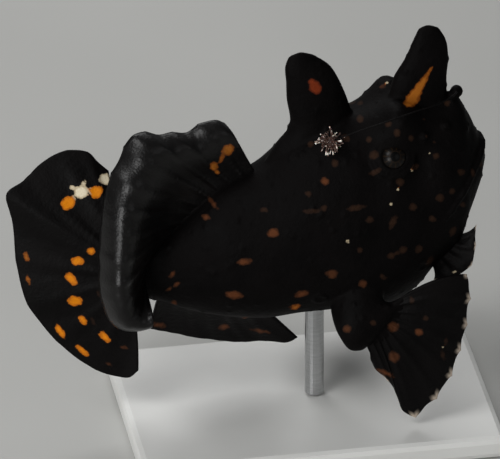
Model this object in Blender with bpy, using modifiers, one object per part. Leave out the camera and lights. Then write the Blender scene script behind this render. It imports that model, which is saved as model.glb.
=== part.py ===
"""Painted frogfish, a black juvenile with orange spots, as a still life-size model on a plain stand.

Metres, Z up, head towards +X, the fish's right side towards -Y. The origin is the middle of the
stand's underside. The sizes below are millimetres in the fish's own frame, and to_world turns a
point of that frame into metres above the stand.
"""
import math
import random

import bmesh
import bpy
import numpy
from mathutils import Matrix, Vector
from mathutils.bvhtree import BVHTree

MM = 0.001
GAP = 0.3
WELD = 0.001
SLIVER = 0.01
OUTSIDE = 30.0
FISH_AHEAD = -7.0
FISH_LIFT = 18.2

# The body: x, height of the back, height of the belly, half width
BODY_STATIONS = (
    (-16.2, 7.2, 1.9, 1.2),
    (-15.2, 7.8, 1.3, 1.8),
    (-12.3, 8.6, 0.8, 2.4),
    (-9.0, 11.4, -0.4, 3.8),
    (-4.0, 15.6, -1.9, 5.6),
    (1.5, 18.5, -2.5, 6.9),
    (6.0, 22.2, -2.1, 7.7),
    (12.0, 24.8, -2.0, 8.3),
    (17.0, 25.0, -1.9, 8.0),
    (20.5, 25.5, 0.0, 7.3),
    (23.0, 25.8, 3.1, 6.8),
    (25.5, 25.9, 5.0, 5.8),
    (27.4, 23.5, 9.8, 4.2),
    (28.8, 20.2, 13.8, 2.8),
)
BODY_RINGS = 30
RING_POINTS = 32
TAIL_END = (-16.5, 0.0, 4.5)
SNOUT_END = (29.8, 0.0, 17.0)
WIDEST_AT = 0.42
SIDE_POWER = 0.92
SWELLING_STEEPNESS = 2.0

# Swellings raised in the body's own surface: place, reach, height; each has its twin on the left
SWELLINGS = (
    ((17.9, -4.0, 25.3), 4.3, 4.2),
    ((17.0, -6.4, 17.2), 3.2, 0.5),
    ((23.6, -5.6, 17.6), 3.0, 0.6),
    ((13.0, -7.4, 3.0), 4.5, 0.7),
)

HEAD_CUT = ((12.0, 0.0, 10.0), (0.84, 0.0, 0.54))
STALK_CUT = ((-10.6, 0.0, 5.0), (1.0, 0.0, 0.1))

MOUTH_TIP = (28.9, 20.0)
MOUTH_CORNER = (22.6, 12.0)
JAW_HINGE = (24.6, -4.0)
LIP_RADIUS = 0.55
LIP_SUNK = 0.6
LIP_THINNING = 0.35
LIP_SPAN = 0.93
LIP_POINTS = 21
TUBE_RESOLUTION = 2

EYE_AT = (17.0, 21.4)
EYE_RADIUS = 1.75
EYE_DEPTH = 0.75
EYE_FACETS = (10, 16)
EYE_ROOM_FACETS = (12, 18)
LID_RADIUS = 0.46
LID_SUNK = 0.15
LID_FACETS = (20, 8)

NOSTRILS_AT = ((20.9, 23.4), (23.9, 23.9))
NOSTRIL_FOOT_RADIUS = 0.75
NOSTRIL_RIM_RADIUS = 0.425
NOSTRIL_HEIGHT = 0.7
NOSTRIL_FOOT = 0.6
NOSTRIL_SIDES = 10
NOSTRIL_BORE = 0.24
NOSTRIL_BORE_SIDES = 8
GILL_PORE_AT = (7.6, 2.6)
GILL_PORE_RADIUS = 0.8
GILL_PORE_RIM = 0.3
GILL_PORE_FACETS = (14, 6)

# Skin-covered spines: rings of x, height, half length, half thickness
SPINE_TWO = ((21.1, 21.5, 3.8, 1.9), (21.1, 25.6, 3.7, 1.8), (21.3, 28.8, 3.4, 1.5),
             (22.2, 31.8, 2.7, 1.2), (22.5, 34.3, 2.0, 0.9), (22.4, 35.7, 1.3, 0.6))
SPINE_TWO_TIP = (22.2, 0.0, 36.3)
SPINE_THREE = ((7.6, 18.4, 6.0, 2.2), (8.4, 20.8, 5.4, 2.3), (9.0, 23.0, 4.3, 2.1), (8.3, 27.6, 3.7, 1.7),
               (7.8, 29.8, 3.3, 1.5), (7.1, 32.0, 2.7, 1.1), (6.5, 33.3, 1.7, 0.7))
SPINE_THREE_TIP = (6.3, 0.0, 34.0)
SPINE_POINTS = 16
SPINE_FOOT = 0.5

# The lure: a thin rod laid back along the head, and its tuft
ROD_PATH = ((26.0, 0.0, 26.5), (25.6, -1.6, 27.1), (23.5, -3.8, 27.3), (19.5, -6.0, 27.5),
            (16.0, -7.2, 27.2), (12.6, -6.5, 25.8), (9.2, -5.2, 23.9))
ROD_POINTS = 22
ROD_RADIUS = 0.26
ROD_THICKER_AT_KNOB = 0.5
ROD_TAPER_SHARE = 0.28
ROD_KNOB_RADII = (0.8, 0.75, 0.8)
ROD_FOOT = (24.9, 0.0, 25.0)
ROD_FOOT_RADIUS = 0.75
ROD_KNOB_FACETS = (8, 12)
TUFT_RADII = (0.75, 0.6, 0.75)
TUFT_FACETS = (6, 10)
TUFT_FILAMENTS = 14
TUFT_REACH = 1.5
TUFT_SHORTEST = 0.75
TUFT_FLATNESS = 0.7
TUFT_SEED = 7
FILAMENT_RADII = (0.27, 0.14)
FILAMENT_SIDES = 6

MEMBRANE = 0.5
RAY_THICKNESS = 0.95
EDGE_THICKNESS = 0.36
ROOT_FLARE = 0.5
FLARE_FADE = 16.0
FLARE_POWER = 4
EDGE_POWER = 6
COLUMNS_PER_RAY = 3

# Each fin: roots, tips, rays, rows, how far the rays bow between root and tip, from the first to the
# last, how near the tips the bow is, and how deep the edge is scalloped, as a share of its length
DORSAL = {
    "roots": ((1.0, 0.0, 16.9), (-2.4, 0.0, 15.0), (-7.0, 0.0, 12.0), (-11.0, 0.0, 8.4), (-13.8, 0.0, 6.6)),
    "tips": ((-3.2, 0.2, 24.7), (-4.2, 0.1, 25.3), (-6.1, 0.0, 25.2), (-8.1, -0.3, 24.3),
             (-10.3, -0.7, 24.6), (-11.7, -0.9, 24.5), (-13.6, -1.0, 25.2), (-14.8, -1.2, 25.1),
             (-16.7, -1.9, 22.6), (-18.6, -2.9, 18.8), (-19.5, -3.9, 14.1), (-20.0, -4.8, 9.4),
             (-19.7, -5.6, 4.3), (-18.2, -6.1, 0.8), (-15.9, -6.3, -0.2), (-14.2, -6.4, 0.2)),
    "rays": 13, "rows": 13, "bows": ((0.2, -1.4, 0.4), (0.3, -3.4, 0.6), (0.4, -4.4, 0.7), (0.5, -3.4, 0.8)),
    "late": 3, "notch": 0.015,
}
CAUDAL = {
    "roots": ((-15.0, 0.0, 7.0), (-15.3, 0.0, 4.5), (-15.0, 0.0, 2.0)),
    "tips": ((-17.0, 5.0, 16.6), (-18.3, 5.6, 17.8), (-19.3, 6.0, 19.0), (-21.2, 6.4, 19.3),
             (-23.0, 6.4, 19.1), (-25.4, 6.2, 17.9), (-27.6, 5.6, 16.0), (-30.0, 5.0, 14.9),
             (-29.3, 4.8, 11.2), (-28.8, 3.8, 4.3), (-27.9, 2.8, 0.1), (-26.2, 2.3, -2.9),
             (-23.8, 1.7, -5.9), (-20.8, 1.0, -8.6), (-17.2, 0.3, -10.4), (-15.4, -0.2, -10.5),
             (-14.3, -0.6, -9.3)),
    "rays": 9, "rows": 9, "bows": ((-0.4, -0.9, 0.0), (0.3, 0.2, 0.0)),
    "late": 1, "notch": 0.015,
}
ANAL = {
    "roots": ((1.0, 0.0, -1.2), (-5.0, 0.0, -0.6), (-11.2, 0.0, 2.2)),
    "tips": ((6.6, 3.0, -8.7), (5.9, 3.2, -9.3), (3.2, 4.0, -9.5), (0.4, 4.5, -9.6),
             (-3.8, 4.5, -8.9), (-6.9, 4.2, -7.9), (-9.5, 3.8, -6.8), (-12.2, 2.6, -5.3)),
    "rays": 7, "rows": 7, "bows": ((-0.5, 0.8, 0.2), (0.0, 0.5, 0.0)),
    "late": 1, "notch": 0.015,
}
HAND_RIGHT = {
    "roots": ((13.0, -9.4, -3.1), (14.9, -9.4, -1.9), (16.3, -9.1, 0.0), (17.2, -8.6, 2.5)),
    "tips": ((13.7, -9.5, -5.5), (14.4, -9.6, -7.1), (15.6, -9.7, -8.3), (16.4, -9.8, -9.6),
             (17.1, -9.8, -11.3), (17.9, -9.8, -13.5), (19.2, -9.8, -14.3), (21.1, -9.7, -12.8),
             (23.5, -9.5, -9.9), (24.5, -9.3, -7.4), (25.6, -9.0, -3.8), (26.1, -8.8, -1.4),
             (26.3, -8.7, 0.9), (26.5, -8.6, 2.6), (26.4, -8.5, 4.2), (25.9, -8.4, 5.1)),
    "rays": 10, "rows": 7, "bows": ((0.1, -0.4, 0.0), (0.0, -0.9, 1.35)),
    "late": 1, "notch": 0.05,
}
HAND_LEFT = {
    "roots": ((9.4, 10.0, -1.6), (11.4, 10.4, -1.5), (13.6, 10.4, -1.0), (15.6, 10.0, -0.2)),
    "tips": ((6.9, 15.6, -5.8), (9.4, 17.8, -7.4), (12.6, 18.9, -8.0), (16.0, 18.6, -7.2),
             (18.8, 16.9, -5.4), (20.2, 14.4, -3.0)),
    "rays": 10, "rows": 7, "bows": ((-0.3, 0.5, 1.2), (0.4, 0.3, 0.9)),
    "late": 1, "notch": 0.05,
}
FOOT_RIGHT = {
    "roots": ((25.2, -2.8, 7.9), (24.0, -3.0, 6.1), (22.4, -3.1, 4.3)),
    "tips": ((27.9, -4.4, 9.8), (27.7, -5.2, 7.3), (27.1, -5.9, 4.9), (25.0, -6.3, 3.5), (22.1, -6.2, 3.3)),
    "rays": 5, "rows": 6, "bows": ((0.1, -0.5, -0.3), (0.2, -0.6, 0.0)),
    "late": 1, "notch": 0.07,
}
FOOT_LEFT = {
    "roots": ((25.2, 2.8, 7.9), (24.0, 3.0, 6.1), (22.4, 3.1, 4.3)),
    "tips": ((27.5, 4.8, 9.2), (27.2, 5.5, 7.0), (26.5, 6.0, 4.9), (24.9, 6.4, 3.4), (22.6, 6.2, 2.7)),
    "rays": 5, "rows": 6, "bows": ((0.1, 0.5, -0.3), (0.2, 0.6, 0.0)),
    "late": 1, "notch": 0.07,
}

# The arms: rings of middle, long half axis, half thickness across the arm
ARM_RIGHT = (
    ((13.0, -4.6, 3.6), (3.4, 0.0, 2.4), 2.6),
    ((12.5, -7.0, 1.8), (3.3, 0.2, 2.2), 2.4),
    ((12.5, -8.6, 0.4), (2.9, 0.5, 2.1), 2.0),
    ((13.6, -9.3, -0.7), (2.7, 0.5, 2.8), 1.6),
    ((14.8, -9.2, -0.8), (2.5, 0.5, 3.0), 1.1),
)
ARM_RIGHT_END = (15.3, -9.2, -0.9)
ARM_LEFT = (
    ((13.0, 4.6, 3.6), (3.4, 0.0, 2.4), 2.6),
    ((12.5, 7.0, 2.0), (3.6, -0.2, 1.9), 2.4),
    ((12.2, 8.7, 0.4), (3.8, -0.2, 1.3), 1.9),
    ((12.3, 9.9, -0.7), (3.8, -0.2, 0.9), 1.4),
    ((12.5, 10.7, -1.2), (3.7, -0.2, 0.8), 1.0),
)
ARM_LEFT_END = (12.6, 11.1, -1.4)
ARM_POINTS = 16
ARM_START = 0.2

STAND_BASE = (46.0, 30.0, 3.0)
STAND_BEVEL = 0.8
STAND_BEVEL_STEPS = 2
STAND_ROD_AT = (8.2, 0.0)
STAND_ROD_RADIUS = 1.2
STAND_ROD_TOP = 2.0
STAND_ROD_SIDES = 20

# Finishes: colour, roughness and how metallic
SKIN_FINISH = ((0.012, 0.009, 0.009), 0.35, 0.0)
LENS_FINISH = ((0.01, 0.01, 0.012), 0.05, 0.0)
ENAMEL_FINISH = ((0.8, 0.8, 0.79), 0.5, 0.0)
STEEL_FINISH = ((0.6, 0.6, 0.6), 0.3, 1.0)


def to_world(point):
    """A point of the fish's frame, in millimetres, as metres above the stand."""
    x, y, z = point
    return Vector(((x + FISH_AHEAD) * MM, y * MM, (z + FISH_LIFT) * MM))


def smooth(points, share):
    """The point at a share 0 to 1 of the way along a smooth curve through the points."""
    knots = numpy.array(points, dtype=float)
    steps = numpy.linalg.norm(numpy.diff(knots, axis=0), axis=1)
    reach = numpy.concatenate(([0.0], numpy.cumsum(steps)))
    slopes = numpy.gradient(knots, reach, axis=0)
    along = min(max(share, 0.0), 1.0) * reach[-1]
    i = min(int(numpy.searchsorted(reach, along, side="right")) - 1, len(knots) - 2)
    span = reach[i + 1] - reach[i]
    t = (along - reach[i]) / span
    start = (1 + 2 * t) * (1 - t) ** 2 * knots[i] + t * (1 - t) ** 2 * span * slopes[i]
    end = t * t * (3 - 2 * t) * knots[i + 1] - t * t * (1 - t) * span * slopes[i + 1]
    return start + end


def material(name, colour, roughness, metallic):
    made = bpy.data.materials.new(name)
    made.use_nodes = True
    shader = made.node_tree.nodes["Principled BSDF"]
    shader.inputs["Base Color"].default_value = (*colour, 1.0)
    shader.inputs["Roughness"].default_value = roughness
    shader.inputs["Metallic"].default_value = metallic
    return made


def add_object(name, bm, finish, collection):
    """A named object from a bmesh that is built in the fish's frame."""
    for vertex in bm.verts:
        vertex.co = to_world(vertex.co)
    mesh = bpy.data.meshes.new(name)
    bm.to_mesh(mesh)
    bm.free()
    obj = bpy.data.objects.new(name, mesh)
    collection.objects.link(obj)
    if finish is not None:
        mesh.materials.append(finish)
    return obj


def loft(rings, first_end, last_end):
    """A closed bmesh through rings of equal count, closed by a point at each end."""
    bm = bmesh.new()
    loops = [[bm.verts.new(point) for point in ring] for ring in rings]
    for near, far in zip(loops, loops[1:]):
        for k in range(len(near)):
            j = (k + 1) % len(near)
            bm.faces.new((near[k], near[j], far[j], far[k]))
    for loop, end in ((loops[0], first_end), (loops[-1], last_end)):
        point = bm.verts.new(end)
        for k in range(len(loop)):
            bm.faces.new((loop[k], loop[(k + 1) % len(loop)], point))
    bmesh.ops.recalc_face_normals(bm, faces=bm.faces)
    return bm


def grow(bm, amount):
    """Moves every point of a bmesh out along its normal."""
    bm.normal_update()
    for vertex, normal in [(v, v.normal.copy()) for v in bm.verts]:
        vertex.co += normal * amount


def body_ring(x, top, bottom, half_width):
    """One cross section, widest a little below its middle."""
    middle = bottom + WIDEST_AT * (top - bottom)
    ring = []
    for k in range(RING_POINTS):
        angle = 2.0 * math.pi * (k + 0.5) / RING_POINTS
        across = math.copysign(abs(math.cos(angle)) ** SIDE_POWER, math.cos(angle))
        up = math.copysign(abs(math.sin(angle)) ** SIDE_POWER, math.sin(angle))
        height = top - middle if up > 0 else middle - bottom
        ring.append((x, half_width * across, middle + height * up))
    return ring


def body_shape(extra=0.0):
    """The whole body without fins, grown outwards by extra."""
    shares = [0.5 - 0.5 * math.cos(math.pi * k / (BODY_RINGS - 1)) for k in range(BODY_RINGS)]
    rings = [body_ring(*smooth(BODY_STATIONS, share)) for share in shares]
    bm = loft(rings, TAIL_END, SNOUT_END)
    bm.normal_update()
    moves = []
    for vertex in bm.verts:
        raised = 0.0
        for place, reach, height in SWELLINGS:
            for side in (1.0, -1.0):
                centre = Vector((place[0], side * place[1], place[2]))
                raised += height * math.exp(-((vertex.co - centre).length / reach) ** 2 * SWELLING_STEEPNESS)
        moves.append(vertex.normal * raised)
    for vertex, move in zip(bm.verts, moves):
        vertex.co += move
    if extra:
        grow(bm, extra)
    return bm


def freeze(obj):
    """Applies an object's modifiers."""
    graph = bpy.context.evaluated_depsgraph_get()
    mesh = bpy.data.meshes.new_from_object(obj.evaluated_get(graph))
    obj.modifiers.clear()
    obj.data = mesh


def keep_largest(obj):
    """Keeps the largest closed surface of an object, and closes up slivers."""
    bm = bmesh.new()
    bm.from_mesh(obj.data)
    bmesh.ops.remove_doubles(bm, verts=bm.verts, dist=SLIVER * MM)
    bmesh.ops.dissolve_degenerate(bm, edges=bm.edges, dist=SLIVER * MM)
    bmesh.ops.triangulate(bm, faces=bm.faces)
    left = set(bm.faces)
    shells = []
    while left:
        stack = [left.pop()]
        shell = [stack[0]]
        while stack:
            for edge in stack.pop().edges:
                for face in edge.link_faces:
                    if len(edge.link_faces) == 2 and face in left:
                        left.discard(face)
                        shell.append(face)
                        stack.append(face)
        shells.append(shell)
    shells.sort(key=len, reverse=True)
    for shell in shells[1:]:
        bmesh.ops.delete(bm, geom=shell, context="FACES")
    bm.to_mesh(obj.data)
    bm.free()


def combine(obj, others, operation, solver="EXACT"):
    """Joins or cuts an object with closed meshes in one Boolean, and removes them."""
    group = bpy.data.collections.new("tools_for_" + obj.name)
    bpy.context.scene.collection.children.link(group)
    for other in others:
        for owner in list(other.users_collection):
            owner.objects.unlink(other)
        group.objects.link(other)
    step = obj.modifiers.new(operation.lower(), "BOOLEAN")
    step.operand_type = "COLLECTION"
    step.collection = group
    step.operation = operation
    step.solver = solver
    freeze(obj)
    for other in list(group.objects):
        bpy.data.objects.remove(other)
    bpy.data.collections.remove(group)
    keep_largest(obj)


def half(bm, cut, keep_ahead):
    """Cuts a closed bmesh by a plane, half a gap away from it, and closes the cut."""
    place, normal = Vector(cut[0]), Vector(cut[1]).normalized()
    side = 1.0 if keep_ahead else -1.0
    geometry = bm.verts[:] + bm.edges[:] + bm.faces[:]
    bmesh.ops.bisect_plane(bm, geom=geometry, plane_co=place + normal * side * GAP / 2.0,
                           plane_no=normal, clear_inner=keep_ahead, clear_outer=not keep_ahead)
    rim = [edge for edge in bm.edges if edge.is_boundary]
    bmesh.ops.contextual_create(bm, geom=rim)
    bmesh.ops.triangulate(bm, faces=bm.faces)
    bmesh.ops.recalc_face_normals(bm, faces=bm.faces)
    return bm


def prism(outline, half_depth):
    """A closed prism along Y with the given corners in X and Z."""
    bm = bmesh.new()
    near = [bm.verts.new((x, -half_depth, z)) for x, z in outline]
    face = bm.faces.new(near)
    pulled = bmesh.ops.extrude_face_region(bm, geom=[face])
    moved = [item for item in pulled["geom"] if isinstance(item, bmesh.types.BMVert)]
    bmesh.ops.translate(bm, verts=moved, vec=(0.0, 2.0 * half_depth, 0.0))
    bmesh.ops.recalc_face_normals(bm, faces=bm.faces)
    return bm


def mouth_frame():
    """The mouth's plane: a unit vector from the corner to the tip, and one square to it."""
    along = Vector((MOUTH_TIP[0] - MOUTH_CORNER[0], 0.0, MOUTH_TIP[1] - MOUTH_CORNER[1])).normalized()
    return along, Vector((along.z, 0.0, -along.x))


def jaw_outline(extra):
    """The lower jaw's wedge seen from the side, grown by extra towards the head."""
    along, ahead = mouth_frame()
    corner = Vector((MOUTH_CORNER[0], 0.0, MOUTH_CORNER[1])) - ahead * extra
    far_tip = corner + along * OUTSIDE
    hinge = Vector((JAW_HINGE[0] - extra, 0.0, JAW_HINGE[1]))
    corner -= along * extra
    ahead_x = hinge.x + OUTSIDE
    return ((corner.x, corner.z), (far_tip.x, far_tip.z), (ahead_x, far_tip.z), (ahead_x, hinge.z),
            (hinge.x, hinge.z))


def mouth_line(tree, share):
    """A point of the mouth's line on the skin: share -1 and 1 are the corners, 0 is the tip."""
    along, ahead = mouth_frame()
    inside = Vector((MOUTH_CORNER[0], 0.0, MOUTH_CORNER[1]))
    angle = share * math.pi / 2.0
    direction = along * math.cos(angle) + Vector((0.0, 1.0, 0.0)) * math.sin(angle)
    hit = tree.ray_cast(inside, direction)
    return hit[0], hit[1], ahead


def mesh_parts(obj):
    """A bmesh of what an object shows, with its ends welded. The object is removed."""
    graph = bpy.context.evaluated_depsgraph_get()
    mesh = bpy.data.meshes.new_from_object(obj.evaluated_get(graph))
    bpy.data.objects.remove(obj)
    bm = bmesh.new()
    bm.from_mesh(mesh)
    bpy.data.meshes.remove(mesh)
    bmesh.ops.remove_doubles(bm, verts=bm.verts, dist=WELD)
    bmesh.ops.recalc_face_normals(bm, faces=bm.faces)
    return bm


def tube(path, radii, resolution):
    """A closed tube: a curve through points with a round bevel, its radius given for each point."""
    curve = bpy.data.curves.new("tube", "CURVE")
    curve.dimensions = "3D"
    curve.bevel_depth = 1.0
    curve.bevel_resolution = resolution
    curve.use_fill_caps = True
    spline = curve.splines.new("POLY")
    spline.points.add(len(path) - 1)
    for knot, place, radius in zip(spline.points, path, radii):
        knot.co = (*place, 1.0)
        knot.radius = radius
    obj = bpy.data.objects.new("tube", curve)
    bpy.context.scene.collection.objects.link(obj)
    return mesh_parts(obj)


def place_along(bm, middle, axis):
    """Turns a bmesh's Z to the axis and moves its middle."""
    turn = Vector(axis).to_track_quat("Z", "Y").to_matrix().to_4x4()
    bmesh.ops.transform(bm, matrix=Matrix.Translation(Vector(middle)) @ turn, verts=bm.verts)
    return bm


def cone(start, end, radius_start, radius_end, segments):
    """A cylinder or cone between two points."""
    start, end = Vector(start), Vector(end)
    bm = bmesh.new()
    bmesh.ops.create_cone(bm, cap_ends=True, segments=segments, radius1=radius_start, radius2=radius_end,
                          depth=(end - start).length)
    return place_along(bm, (start + end) / 2.0, end - start)


def ball(centre, radii, facets):
    """A sphere or egg shape. Its facets are counted from pole to pole and round the middle."""
    bm = bmesh.new()
    bmesh.ops.create_uvsphere(bm, u_segments=facets[1], v_segments=facets[0], radius=1.0)
    bmesh.ops.transform(bm, matrix=Matrix.Translation(Vector(centre)) @ Matrix.Diagonal((*radii, 1.0)),
                        verts=bm.verts)
    return bm


def torus(centre, axis, ring_radius, tube_radius, facets):
    bpy.ops.mesh.primitive_torus_add(major_segments=facets[0], minor_segments=facets[1],
                                     major_radius=ring_radius, minor_radius=tube_radius)
    return place_along(mesh_parts(bpy.context.object), centre, axis)


def skin_at(tree, x, z, side):
    """The point and normal of the skin at x and z, on the side -1 (right) or 1 (left)."""
    hit = tree.ray_cast(Vector((x, side * OUTSIDE, z)), Vector((0.0, -side, 0.0)))
    return hit[0], hit[1]


def bow_shape(t, late):
    """How much of a ray's bow stands at a share t of its length: 1 where the bow is deepest."""
    return (late + 1) ** (late + 1) / late ** late * t ** late * (1.0 - t)


def fin_thickness(share, t, on_inner_ray):
    """A fin's thickness at a share of the way along its root and a share t of a ray's length."""
    full = RAY_THICKNESS if on_inner_ray else MEMBRANE
    flare = ROOT_FLARE * (1.0 - t) ** FLARE_POWER * min(1.0, FLARE_FADE * share * (1.0 - share))
    return full + flare - (full - EDGE_THICKNESS) * t ** EDGE_POWER


def fin_shape(roots, tips, rays, rows, bows, late, notch):
    """A fin: a membrane with a ridge on each ray, alike on both faces, scalloped between the rays."""
    columns = (rays - 1) * COLUMNS_PER_RAY + 1
    grid = []
    for column in range(columns):
        share = column / (columns - 1)
        root = Vector(smooth(roots, share))
        tip = Vector(smooth(tips, share))
        bow = Vector(smooth(bows, share))
        reach = 1.0 if column % COLUMNS_PER_RAY == 0 else 1.0 - notch
        steps = [reach * row / (rows - 1) for row in range(rows)]
        grid.append([root.lerp(tip, t) + bow * bow_shape(t, late) for t in steps])
    front, back = [], []
    for column in range(columns):
        inner_ray = column % COLUMNS_PER_RAY == 0 and 0 < column < columns - 1
        for row in range(rows):
            before = grid[max(column - COLUMNS_PER_RAY, 0)][row]
            after = grid[min(column + COLUMNS_PER_RAY, columns - 1)][row]
            below, above = grid[column][max(row - 1, 0)], grid[column][min(row + 1, rows - 1)]
            normal = (after - before).cross(above - below).normalized()
            thickness = fin_thickness(column / (columns - 1), row / (rows - 1), inner_ray)
            front.append(grid[column][row] + normal * thickness / 2.0)
            back.append(grid[column][row] - normal * thickness / 2.0)
    return close_sheets(front, back, columns, rows)


def close_sheets(front, back, columns, rows):
    """A closed bmesh from two sheets of points in equal grids, joined round their edge."""
    bm = bmesh.new()
    front, back = [[bm.verts.new(point) for point in sheet] for sheet in (front, back)]
    for column in range(columns - 1):
        for row in range(rows - 1):
            a = column * rows + row
            b = a + rows
            for sheet in (front, back):
                bm.faces.new((sheet[a], sheet[b], sheet[b + 1]))
                bm.faces.new((sheet[a], sheet[b + 1], sheet[a + 1]))
    edge = [column * rows for column in range(columns)]
    edge += [(columns - 1) * rows + row for row in range(1, rows)]
    edge += [column * rows + rows - 1 for column in range(columns - 2, -1, -1)]
    edge += [row for row in range(rows - 2, 0, -1)]
    for i, a in enumerate(edge):
        b = edge[(i + 1) % len(edge)]
        bm.faces.new((front[a], front[b], back[b]))
        bm.faces.new((front[a], back[b], back[a]))
    bmesh.ops.recalc_face_normals(bm, faces=bm.faces)
    return bm


def spine_shape(rings, tip):
    """A skin-covered spine from level rings of x, height, half length and half thickness."""
    count = 2 * len(rings) - 1
    loops = []
    for k in range(count):
        x, height, half_length, half_thickness = smooth(rings, k / (count - 1))
        turns = [2.0 * math.pi * (j + 0.5) / SPINE_POINTS for j in range(SPINE_POINTS)]
        loops.append([(x + half_length * math.cos(a), half_thickness * math.sin(a), height) for a in turns])
    foot = (rings[0][0], 0.0, rings[0][1] - SPINE_FOOT)
    return loft(loops, foot, tip)


def arm_shape(rings, end, extra=0.0):
    """An arm: oval rings, each square to the way that the arm runs there."""
    middles = [Vector(ring[0]) for ring in rings]
    loops = []
    for i, (middle, long_axis, half_thickness) in enumerate(rings):
        heading = middles[min(i + 1, len(rings) - 1)] - middles[max(i - 1, 0)]
        long_axis = Vector(long_axis)
        across = heading.normalized().cross(long_axis.normalized()).normalized() * (half_thickness + extra)
        long_axis = long_axis + long_axis.normalized() * extra
        turns = [2.0 * math.pi * (j + 0.5) / ARM_POINTS for j in range(ARM_POINTS)]
        loops.append([Vector(middle) + long_axis * math.cos(a) + across * math.sin(a) for a in turns])
    start = middles[0] + (middles[0] - middles[1]) * ARM_START
    finish = Vector(end) + (Vector(end) - middles[-1]).normalized() * extra
    return loft(loops, start, finish)


def make_head(tree, skin, parts, tools):
    """The head with lids, nostrils and upper lip, and the lower jaw with its lip."""
    head = add_object("head", half(body_shape(), HEAD_CUT, True), skin, parts)
    jaw = add_object("lower_jaw", half(body_shape(), HEAD_CUT, True), skin, parts)
    combine(head, [add_object("jaw_room", prism(jaw_outline(GAP), OUTSIDE), None, tools)], "DIFFERENCE")
    combine(jaw, [add_object("jaw_wedge", prism(jaw_outline(0.0), OUTSIDE), None, tools)], "INTERSECT")

    shares = [LIP_SPAN * (2.0 * k / (LIP_POINTS - 1) - 1.0) for k in range(LIP_POINTS)]
    for obj, side in ((head, -1.0), (jaw, 1.0)):
        path = []
        for share in shares:
            point, normal, ahead = mouth_line(tree, share)
            offset = LIP_RADIUS + (GAP if side < 0 else 0.0)
            path.append(point - normal * LIP_RADIUS * LIP_SUNK + ahead * side * offset)
        radii = [LIP_RADIUS * (1.0 - LIP_THINNING * abs(share) ** 3) for share in shares]
        combine(obj, [add_object("lip", tube(path, radii, TUBE_RESOLUTION), None, tools)], "UNION")

    extras = []
    for side in (-1.0, 1.0):
        point, normal = skin_at(tree, EYE_AT[0], EYE_AT[1], side)
        lid = torus(point - normal * LID_SUNK, normal, EYE_RADIUS, LID_RADIUS, LID_FACETS)
        extras.append(add_object("lid", lid, None, tools))
        for x, z in NOSTRILS_AT:
            place, out = skin_at(tree, x, z, side)
            foot, rim = place - out * NOSTRIL_FOOT, place + out * NOSTRIL_HEIGHT
            nostril = cone(foot, rim, NOSTRIL_FOOT_RADIUS, NOSTRIL_RIM_RADIUS, NOSTRIL_SIDES)
            extras.append(add_object("nostril", nostril, None, tools))
    combine(head, extras, "UNION")

    holes = []
    for side in (-1.0, 1.0):
        point, normal = skin_at(tree, EYE_AT[0], EYE_AT[1], side)
        centre = point - normal * EYE_DEPTH
        room = EYE_RADIUS + GAP
        room_shape = ball(centre, (room, room, room), EYE_ROOM_FACETS)
        holes.append(add_object("eye_room", room_shape, None, tools))
        for x, z in NOSTRILS_AT:
            place, out = skin_at(tree, x, z, side)
            above_rim = place + out * NOSTRIL_HEIGHT * 2.0
            bore = cone(place, above_rim, NOSTRIL_BORE, NOSTRIL_BORE, NOSTRIL_BORE_SIDES)
            holes.append(add_object("bore", bore, None, tools))
    combine(head, holes, "DIFFERENCE")


def make_eyes(tree, finish, parts):
    for name, side in (("eye_right", -1.0), ("eye_left", 1.0)):
        point, normal = skin_at(tree, EYE_AT[0], EYE_AT[1], side)
        centre = point - normal * EYE_DEPTH
        add_object(name, ball(centre, (EYE_RADIUS, EYE_RADIUS, EYE_RADIUS), EYE_FACETS), finish, parts)


def make_trunk(tree, skin, parts, tools):
    """The torso with its gill pores, and the tail stalk."""
    bm = half(body_shape(), HEAD_CUT, False)
    torso = add_object("torso", half(bm, STALK_CUT, True), skin, parts)
    add_object("tail_stalk", half(body_shape(), STALK_CUT, False), skin, parts)
    pores = []
    for side in (-1.0, 1.0):
        point, normal = skin_at(tree, GILL_PORE_AT[0], GILL_PORE_AT[1], side)
        pore = torus(point, normal, GILL_PORE_RADIUS, GILL_PORE_RIM, GILL_PORE_FACETS)
        pores.append(add_object("pore", pore, None, tools))
    combine(torso, pores, "UNION")


def make_lure(skin, parts, tools):
    """The rod on its knob and foot, and the tuft at its end."""
    shares = [k / (ROD_POINTS - 1) for k in range(ROD_POINTS)]
    path = [smooth(ROD_PATH, share) for share in shares]
    thicker = [ROD_THICKER_AT_KNOB * max(0.0, 1.0 - share / ROD_TAPER_SHARE) for share in shares]
    radii = [ROD_RADIUS * (1.0 + extra) for extra in thicker]
    lure = add_object("illicium", tube(path, radii, TUBE_RESOLUTION), skin, parts)
    end = Vector(path[-1])
    pieces = [cone(ROD_FOOT, ROD_PATH[0], ROD_FOOT_RADIUS, min(ROD_KNOB_RADII), ROD_KNOB_FACETS[1]),
              ball(ROD_PATH[0], ROD_KNOB_RADII, ROD_KNOB_FACETS), ball(end, TUFT_RADII, TUFT_FACETS)]
    chance = random.Random(TUFT_SEED)
    golden_turn = math.pi * (3.0 - math.sqrt(5.0))
    for k in range(TUFT_FILAMENTS):
        height = 1.0 - 2.0 * (k + 0.5) / TUFT_FILAMENTS
        level = math.sqrt(1.0 - height * height)
        turn = k * golden_turn
        heading = Vector((level * math.cos(turn), height * TUFT_FLATNESS, level * math.sin(turn)))
        heading.normalize()
        far_end = end + heading * TUFT_REACH * chance.uniform(TUFT_SHORTEST, 1.0)
        pieces.append(cone(end, far_end, *FILAMENT_RADII, FILAMENT_SIDES))
    combine(lure, [add_object("tuft", piece, None, tools) for piece in pieces], "UNION")
    clear_of_body(lure, tools)


def clear_of_body(obj, tools):
    """Cuts the body, grown by a gap, out of an object."""
    combine(obj, [add_object("body_room", body_shape(GAP), None, tools)], "DIFFERENCE", "MANIFOLD")


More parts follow.
